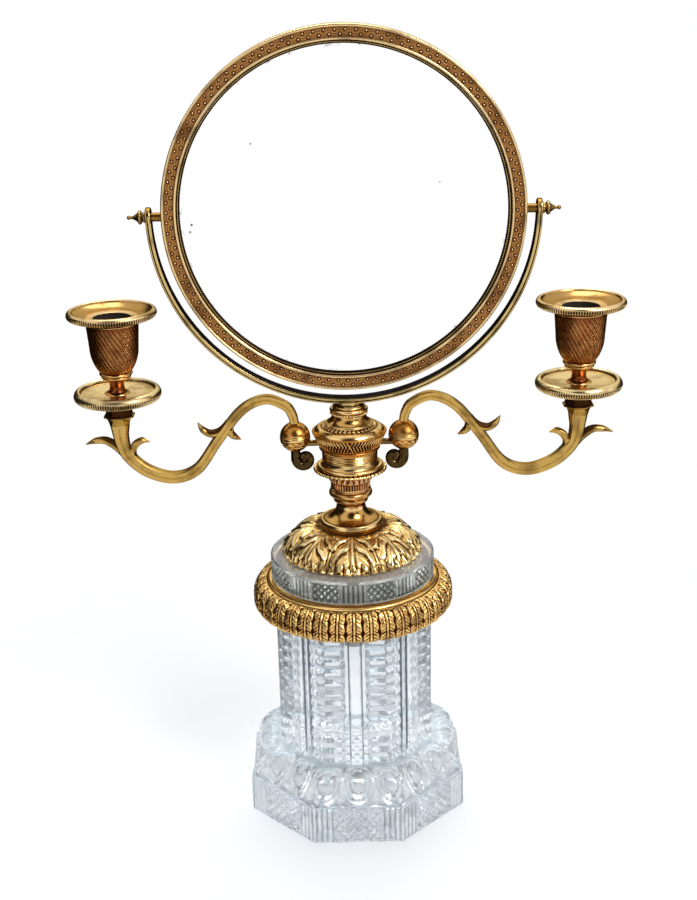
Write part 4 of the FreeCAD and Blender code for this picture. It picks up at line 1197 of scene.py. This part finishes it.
def finial(side, sign):
    """Turned nut with a collar, a disc and a small ball at its tip."""
    base, tip = finial_low.x, finial_high.x
    neck = tip - 2 * nut_ball + 0.28
    bm = turned([
        (nut_hole, base), (2.7, base), ((3.0, base + 0.7), (2.7, base + 1.4)), (2.2, base + 1.7),
        (2.4, base + 2.1), ((3.9, base + 3.0), (3.3, base + 4.1)), ((2.4, base + 4.6), (1.9, base + 5.4)),
        ((1.1, base + 6.6), (0.75, neck)), ((nut_ball, tip - nut_ball), (0, tip))],
        steps=80, row=0.18, closed=False)
    settle(along_x(bm, sign), f"{side}_finial", f"{side}_finial", dark_gilt, f"{side}_finial_nut", passes=5)


# Ball knuckles and scrolls

swivel_hole = 2.05
branch_root = 2.2
scroll_stem = 2.8
scroll_radius = 5.0
scroll_tightening = 2.9
scroll_turn = math.radians(300)
scroll_dome = 2.4
ball_flat = math.sqrt(knuckle_radius ** 2 - scroll_stem ** 2)
ball_top = math.sqrt(knuckle_radius ** 2 - branch_root ** 2)
band_waves = 12


def ball_line(low, high):
    """Outline of the ball between two heights from its middle."""
    first, last = math.asin(low / knuckle_radius), math.asin(high / knuckle_radius)
    turns = [first + (last - first) * i / 28 for i in range(29)]
    return [(knuckle_radius * math.cos(t), knuckle_radius * math.sin(t)) for t in turns]


def ball_band(angle, radius, height):
    """Chased wave band below the ball's middle, between two lines."""
    if radius < 5.5 or height > -0.1:
        return 0.0
    turn = angle * band_waves
    above = height - (-2.9 + 0.75 * math.sin(turn))
    stem = hump(above, 0.42)
    leaves = hump(above - 0.9 * math.copysign(1, math.cos(turn)), 0.5) * wave(3 * turn / math.tau)
    lines = hump(height + 0.9, 0.2) + hump(height + 5.0, 0.2)
    return (0.42 * max(stem, 0.8 * leaves) + 0.35 * lines - 0.2) * window(-5.6, -0.5, 0.3, height)


def cap_lines(angle, radius, height):
    """Two turned lines above the ball's middle."""
    lines = hump(height - 0.9, 0.2) + hump(height - 1.9, 0.2)
    return -0.22 * lines if radius > 6 else 0.0


def knuckle(side, sign):
    """Two halves of the ball: the lower on the vase, the upper on the branch."""
    at = (sign * knuckle_x, 0, knuckle_z)
    well = [(swivel_hole, -0.05), (swivel_hole, -6.0), (0, -ball_flat)]
    lower = turned(well + ball_line(-ball_flat, -0.05), steps=band_waves * 14, row=0.4)
    settle(emboss(lower, ball_band), f"{side}_ball_foot", "stand", chased, f"{side}_knuckle_base",
           at=at, passes=5, depth=0.25)
    upper = turned(ball_line(0.1, ball_top) + [(0, ball_top), (0, 0.1)], steps=120, row=0.4)
    settle(emboss(upper, cap_lines), f"{side}_ball_cap", f"{side}_arm", chased, f"{side}_knuckle_cap",
           at=at, passes=5, depth=0.25)


def rounded_section():
    """Round section, slightly squared."""
    power = 2.6
    points = []
    for i in range(24):
        turn = math.tau * i / 24
        c, s = math.cos(turn), math.sin(turn)
        size = (abs(c) ** power + abs(s) ** power) ** (-1 / power)
        points.append((c * size, s * size))
    return points


def scroll(side, sign):
    """Scroll under the ball, rolled up towards the vase, with domes at its end and in its eye."""
    top = knuckle_z - ball_flat
    eye = (knuckle_x - scroll_radius, top - 5.6)
    points = [(knuckle_x, top + 0.6), (knuckle_x, top - 2.8)]
    for i in range(11):
        share = i / 10
        radius = scroll_radius - scroll_tightening * share
        turn = -scroll_turn * share
        points.append((eye[0] + radius * math.cos(turn), eye[1] + radius * math.sin(turn)))
    points = [(sign * x, z) for x, z in points]
    thick = [(0, scroll_stem), (0.3, scroll_stem), (0.7, 2.5), (1, 2.1)]
    deep = [(0, scroll_stem), (0.4, scroll_stem), (1, 2.4)]
    bm = swept(points, thick, deep, rounded_section(), per_span=5)
    for x, z in (points[-1], (sign * eye[0], eye[1])):
        at = Matrix.Translation((x, 0, z))
        bmesh.ops.create_uvsphere(bm, u_segments=24, v_segments=14, radius=scroll_dome, matrix=at)
    settle(bm, f"{side}_scroll", "stand", olive_gilt, f"{side}_knuckle_scroll",
           sharp=50, passes=4, depth=2.0)


# Candle branches

branch_reach = candle_x - knuckle_x
branch_rise = 23.3
branch_drop = 23.4
branch_thick = [(0, 2.6), (0.3, 2.7), (0.65, 3.3), (0.86, 3.5), (0.94, 4.3), (1, 5.3)]
leaf_thick = [(0, 2.2), (0.5, 2.5), (0.8, 1.9), (1, 0.35)]
leaf_deep = [(0, 2.4), (0.4, 3.2), (0.8, 2.6), (1, 0.5)]
leaf_darkening = 2.0


def branch_line():
    """Points of the right-hand branch from the ball's top to the socket, from the knuckle's middle."""
    reach, rise, drop = branch_reach, branch_rise, branch_drop
    return [
        (0, 8.2), (0.012 * reach, 0.58 * rise), (0.05 * reach, 0.82 * rise), (0.163 * reach, rise),
        (0.30 * reach, 0.73 * rise), (0.444 * reach, -0.04 * drop), (0.569 * reach, -0.78 * drop),
        (0.71 * reach, -drop), (0.858 * reach, -0.81 * drop), (0.962 * reach, -0.40 * drop),
        (0.995 * reach, 0), (reach, socket_low.z - knuckle_z)]


def leaf_lines():
    """Points of the four leaves on the right-hand branch, root first, from the knuckle's middle."""
    leaves = [
        [(0.380, 0.42), (0.41, 0.26), (0.445, 0.15), (0.49, 0.13), (0.53, 0.24), (0.555, 0.42)],
        [(0.345, 0.52), (0.368, 0.33), (0.372, 0.17), (0.352, 0.05), (0.312, -0.04)],
        [(0.935, -0.54), (0.985, -0.37), (1.035, -0.14), (1.09, 0.01), (1.15, 0.01), (1.205, -0.07)],
        [(0.925, -0.62), (0.938, -0.40), (0.938, -0.22), (0.915, -0.08), (0.88, -0.01), (0.838, -0.04)]]
    return [[(a * branch_reach, b * branch_drop) for a, b in leaf] for leaf in leaves]


def flat_section():
    """Square section with broken edges."""
    quarter = [(1.0, 0.35), (0.98, 0.74), (0.76, 0.98), (0.45, 1.0)]
    half = quarter + [(0.0, 0.98)] + [(-a, b) for a, b in reversed(quarter)]
    return half + [(-a, -b) for a, b in half]


def leaf_section():
    """Lens with a hollow upper side and a ridge below."""
    upper = [(0.9 - 0.45 * math.cos(0.5 * math.pi * y), y) for y in (0.85, 0.5, 0.0, -0.5, -0.85)]
    lower = [(-1.0 + 0.8 * abs(y) ** 1.6, y) for y in (-0.85, -0.5, 0.0, 0.5, 0.85)]
    return [(0.55, 1.0)] + upper + [(0.55, -1.0)] + lower


def branch_leaf(points):
    """Leaf along a line, darker on its upward-facing hollow side towards the root."""
    root, tip = Vector(points[0]), Vector(points[-1])
    up = 1 if tip.x > root.x else -1
    section = [(up * across, depth) for across, depth in leaf_section()]
    bm = swept(points, leaf_thick, leaf_deep, section, per_span=6)
    bm.normal_update()
    layer = bm.verts.layers.float.new("soot_and_painted_shade")
    for v in bm.verts:
        share = (Vector((v.co.x, v.co.z)) - root).length / (tip - root).length
        # Darkens faces that look upwards, most near the root.
        v[layer] = leaf_darkening * step(-0.25, 0.2, v.normal.z) * step(1.0, 0.6, share)
    return bm


def branch(side, sign):
    """Branch with its leaves, in its place on one side."""
    def placed(points):
        return [(sign * (knuckle_x + x), knuckle_z + z) for x, z in points]

    bar = swept(placed(branch_line()), branch_thick, branch_thick, flat_section(), per_span=7)
    stain_and_shade(bar, lambda p: 0.0, "soot_and_painted_shade")
    leaves = [branch_leaf(placed(line)) for line in leaf_lines()]
    settle(join(bar, *leaves), f"{side}_branch", f"{side}_arm", ochre, f"{side}_arm_branch",
           sharp=35, passes=4, depth=0.35)


# Sockets, pans and cups on the candle's axis

rim_ticks = 108
pan_rim = 0.5 * (pan_high.x - pan_low.x)
bobeche_rim = 0.5 * (bobeche_high.x - bobeche_low.x)
cup_ribs = 34
cup_well = 12.06
candle_hole = 10.9
spigot_radius = 12.0


def settle_candle(bm, side, sign, name, body, material, node, **looks):
    """Settles a piece on the candle's axis of one side."""
    settle(bm, f"{side}_{name}", f"{side}_{body}", material, f"{side}_{node}",
           at=(sign * candle_x, 0, 0), **looks)


def socket(side, sign):
    """Eight-sided trumpet with a lip, under the drip pan. It starts as square as the branch."""
    low, high = socket_low.z, socket_high.z
    levels = [(5.3, low), (5.8, low + 1.5), (6.4, low + 3.0), (7.2, low + 4.2), (8.6, low + 4.7),
              (8.8, low + 5.3), (8.2, low + 5.9), (7.4, low + 6.2), (7.1, high - 1.2), (7.6, high)]
    bm = bmesh.new()
    corner = 1 / math.cos(math.pi / 8)
    turn = Matrix.Rotation(math.pi / 8, 4, "Z")
    bmesh.ops.create_circle(bm, segments=8, radius=levels[0][0] * corner, cap_ends=True, matrix=turn)
    bmesh.ops.translate(bm, vec=(0, 0, low), verts=bm.verts)
    edges = list(bm.edges)
    for (before, bottom), (radius, height) in zip(levels, levels[1:]):
        verts, edges = extrude_ring(bm, edges)
        grow = radius / before
        bmesh.ops.scale(bm, vec=(grow, grow, 1), verts=verts)
        bmesh.ops.translate(bm, vec=(0, 0, height - bottom), verts=verts)
    bmesh.ops.contextual_create(bm, geom=edges)
    bmesh.ops.recalc_face_normals(bm, faces=bm.faces)
    for v in bm.verts:
        squared = 1 + 0.75 * step(low + 4.2, low, v.co.z)
        v.co *= Vector((squared, 1, 1) if abs(v.co.x) < abs(v.co.y) else (1, squared, 1))
    bmesh.ops.bevel(bm, geom=list(bm.edges), offset=0.22, affect="EDGES", segments=2, profile=0.5,
                    material=-1)
    stain_and_shade(bm, lambda p: 0.42 + 0.5 * step(low + 5.8, low + 6.4, p.z))
    settle_candle(bm, side, sign, "socket", "arm", ochre, "arm_socket")


def rim_milling(depth, start, full, low, high):
    """Relief of ticks that begin at one radius and are full at another, between two heights."""
    def relief(angle, radius, height):
        ticks = -depth * (1 - wave(angle / math.tau * rim_ticks))
        return ticks * step(start, full, radius) * window(low, high, 0.5, height)
    return relief


def drip_pan(side, sign):
    """Shallow dish on the socket, with a stout milled rim."""
    low, high = pan_low.z, pan_high.z
    bm = turned([
        (0, low), [7.6, low], (8.4, low + 0.5), [19.8, low + 3.0], (22.4, low + 3.1),
        ((pan_rim, 0.5 * (low + 3.2 + high)), (22.9, high)), ((21.8, high - 0.1), (21.3, high - 0.9)),
        (20.9, high - 1.7), (20.4, high - 1.6), (19.9, high - 1.7), [7.4, high - 2.4], [7.3, low + 4.6],
        [0, low + 4.6]], steps=rim_ticks * 6, row=0.6, closed=False)
    milling = rim_milling(0.7, pan_rim - 2.4, pan_rim - 1.4, low + 2.9, low + 7.0)
    settle_candle(emboss(bm, milling, 0.9, layer="soot_and_painted_shade"), side, sign, "pan", "arm", pale_gilt, "drip_pan",
                  passes=4, depth=0.4)


def cup_relief(angle, radius, height):
    """Spiral ribs with rows of dots between them, round the bowl of the cup."""
    rise = height - cup_low.z
    field = window(16.4, 43.6, 0.8, rise) * step(8.6, 9.2, radius)
    if field == 0.0 or (radius < cup_well + 0.3 and rise > 25):
        return 0.0
    rib = wave(cup_ribs * angle / math.tau + rise / 4.4)
    dots = wave(2 * (cup_ribs * angle / math.tau - rise / 2.4)) * (1 - rib) ** 2
    return (0.42 * rib ** 1.4 + 0.48 * dots - 0.3) * field


def candle_cup(side, sign):
    """Vase-shaped cup on a small foot."""
    low, high = cup_low.z, cup_high.z
    bm = turned([
        (0, low), [6.9, low], (6.9, low + 2.1), ((7.3, low + 2.7), (6.7, low + 3.3)), (5.2, low + 3.6),
        ((4.2, low + 6.6), (4.6, low + 9.8)), ((5.6, low + 11.6), (7.0, low + 12.2)),
        ((8.6, low + 12.9), (7.6, low + 13.6)), (8.0, low + 14.0), ((9.6, low + 14.8), (8.7, low + 15.6)),
        (9.2, low + 16.0), ((12.4, low + 22.0), (13.9, low + 30.5)), (14.9, low + 43.8),
        ((15.3, low + 44.4), (14.9, low + 45.0)), (14.9, high), [cup_well, high], [cup_well, low + 26.0],
        [8.4, low + 20.0], [0, low + 20.0]], steps=cup_ribs * 12, row=0.5, closed=False)
    line_bore(emboss(bm, cup_relief), cup_well + 0.1, low + 19)
    settle_candle(bm, side, sign, "cup", "arm", copper, "candle_cup", passes=5, depth=0.34, lining=soot_and_painted_shade)


def bobeche(side, sign):
    """Loose upper pan: a dish with a milled rim and a spigot in the cup."""
    top, seat, low = bobeche_high.z, cup_high.z, bobeche_low.z
    bm = turned([
        (candle_hole, low), [spigot_radius, low], [spigot_radius, seat], [14.6, seat], [19.6, seat + 1.0],
        (23.0, seat + 1.0), ((bobeche_rim, seat + 3.3), (23.9, top)),
        ((23.1, top - 0.05), (22.6, top - 0.7)), (22.1, top - 1.3),
        ((18.6, seat + 2.5), (13.4, seat + 1.8)), [candle_hole, seat + 1.0]], steps=rim_ticks * 6, row=0.6)
    milling = rim_milling(0.6, bobeche_rim - 2.0, bobeche_rim - 1.1, top - 5.2, top - 1.4)
    line_bore(emboss(bm, milling, 0.8, layer="soot_and_painted_shade"), candle_hole + 0.1, low)
    settle_candle(bm, side, sign, "upper_pan", "bobeche", frame_gilt, "bobeche",
                  passes=4, depth=0.4, lining=soot_and_painted_shade)


for side, sign in SIDES:
    finial(side, sign)
    knuckle(side, sign)
    scroll(side, sign)
    branch(side, sign)
    socket(side, sign)
    drip_pan(side, sign)
    candle_cup(side, sign)
    bobeche(side, sign)


# Materials of the CAD nodes that stay

for part in frame["record"]["subparts"]:
    node = frame["nodes"][part["node"]]
    if not node.hide_render:
        node.data.materials.clear()
        node.data.materials.append(plain_dress[part["material_slot"]])


# Studio

# Each dark area has its direction, its half width and its soft edge in degrees
dark_areas = [((0.05, -0.80, 0.62), 20, 12), ((-1.0, 0.08, -0.45), 48, 12), ((0.85, 0.72, -0.30), 30, 12),
              ((0.0, 1.0, -0.36), 24, 10), ((0.55, -0.55, -0.62), 12, 10), ((-0.62, 0.78, 0.08), 18, 10),
              ((0.62, -0.62, 0.40), 10, 10)]
lamp_target = (0, 0, 0.25)
table_half = 0.9
table_drop = 0.0002
table_solid = 0.10
table_gone = 0.42
standpoint = (-0.0007, -0.7965, 0.5073)


def dark_card(tree, direction, towards, wide, soft):
    """Mask of a soft dark area in the surroundings, as a share from 0 to 1."""
    facing = place(tree, "VectorMath", {0: direction, 1: Vector(towards).normalized()},
                   operation="DOT_PRODUCT")
    inner = math.cos(math.radians(wide))
    outer = math.cos(math.radians(wide + soft))
    return ramp(tree, facing.outputs["Value"], outer, inner)


def studio():
    """White surroundings, with soft dark areas that only reflections and crystal show."""
    world = bpy.data.worlds.new("white_studio")
    bpy.context.scene.world = world
    world.use_nodes = True
    tree = world.node_tree
    direction = place(tree, "TexCoord").outputs["Generated"]
    path = place(tree, "LightPath").outputs
    cards = 0.0
    for towards, wide, soft in dark_areas:
        cards = math_node(tree, "MAXIMUM", cards, dark_card(tree, direction, towards, wide, soft))
    white = colour_of(1, 1, 1)
    shiny = mixed(tree, cards, white, colour_of(0.014, 0.012, 0.011))
    seen_through = mixed(tree, cards, white, colour_of(0.30, 0.36, 0.40))
    colour = mixed(tree, path["Is Glossy Ray"], colour_of(0.62, 0.63, 0.65), shiny)
    colour = mixed(tree, path["Is Transmission Ray"], colour, seen_through)
    colour = mixed(tree, path["Is Camera Ray"], colour, white)
    feed(tree, tree.nodes["Background"], {"Color": colour})


def lamp(name, at, size, power):
    """Soft area lamp, not seen by the camera."""
    data = bpy.data.lights.new(name, "AREA")
    data.size = size
    data.energy = power
    lit = bpy.data.objects.new(name, data)
    lit.location = at
    lit.rotation_euler = (Vector(lamp_target) - Vector(at)).to_track_quat("-Z", "Y").to_euler()
    lit.visible_camera = False
    bpy.context.scene.collection.objects.link(lit)


def table():
    """Pale table that fades into the white surroundings and keeps the shadow."""
    bm = bmesh.new()
    bmesh.ops.create_grid(bm, x_segments=1, y_segments=1, size=table_half)
    mesh = bpy.data.meshes.new("table")
    bm.to_mesh(mesh)
    bm.free()
    material, tree, surface = new_material("white_table")
    feed(tree, surface, {"Base Color": colour_of(0.93, 0.94, 0.95), "Roughness": 0.9,
                         "Specular IOR Level": 0.0})
    away = length_of(tree, own_coords(tree))
    let_through(tree, surface, ramp(tree, away, table_solid, table_gone), (1, 1, 1))
    mesh.materials.append(material)
    top = bpy.data.objects.new("table", mesh)
    top.location = (0, 0, -table_drop)
    bpy.context.scene.collection.objects.link(top)


def camera():
    """Camera at the photograph's place, looking down. Height and focal length are in its pixels."""
    photo_height = 900
    focal_length = 1441.7
    sensor = 36.0
    data = bpy.data.cameras.new("camera")
    data.sensor_width = sensor
    data.lens = focal_length * sensor / photo_height
    data.clip_start = 0.01
    taken = bpy.data.objects.new("camera", data)
    looking_down = math.radians(19.5)
    roll = math.radians(-1.4)
    turn = Matrix.Rotation(math.pi / 2 - looking_down, 4, "X") @ Matrix.Rotation(roll, 4, "Z")
    taken.matrix_world = Matrix.Translation(standpoint) @ turn
    bpy.context.scene.collection.objects.link(taken)
    bpy.context.scene.camera = taken


studio()
lamp("key", (0.75, -0.75, 1.15), 0.6, 11.0)
lamp("top", (0.0, 0.35, 1.3), 0.7, 7.0)
table()
camera()
bpy.context.scene.view_settings.view_transform = "Standard"
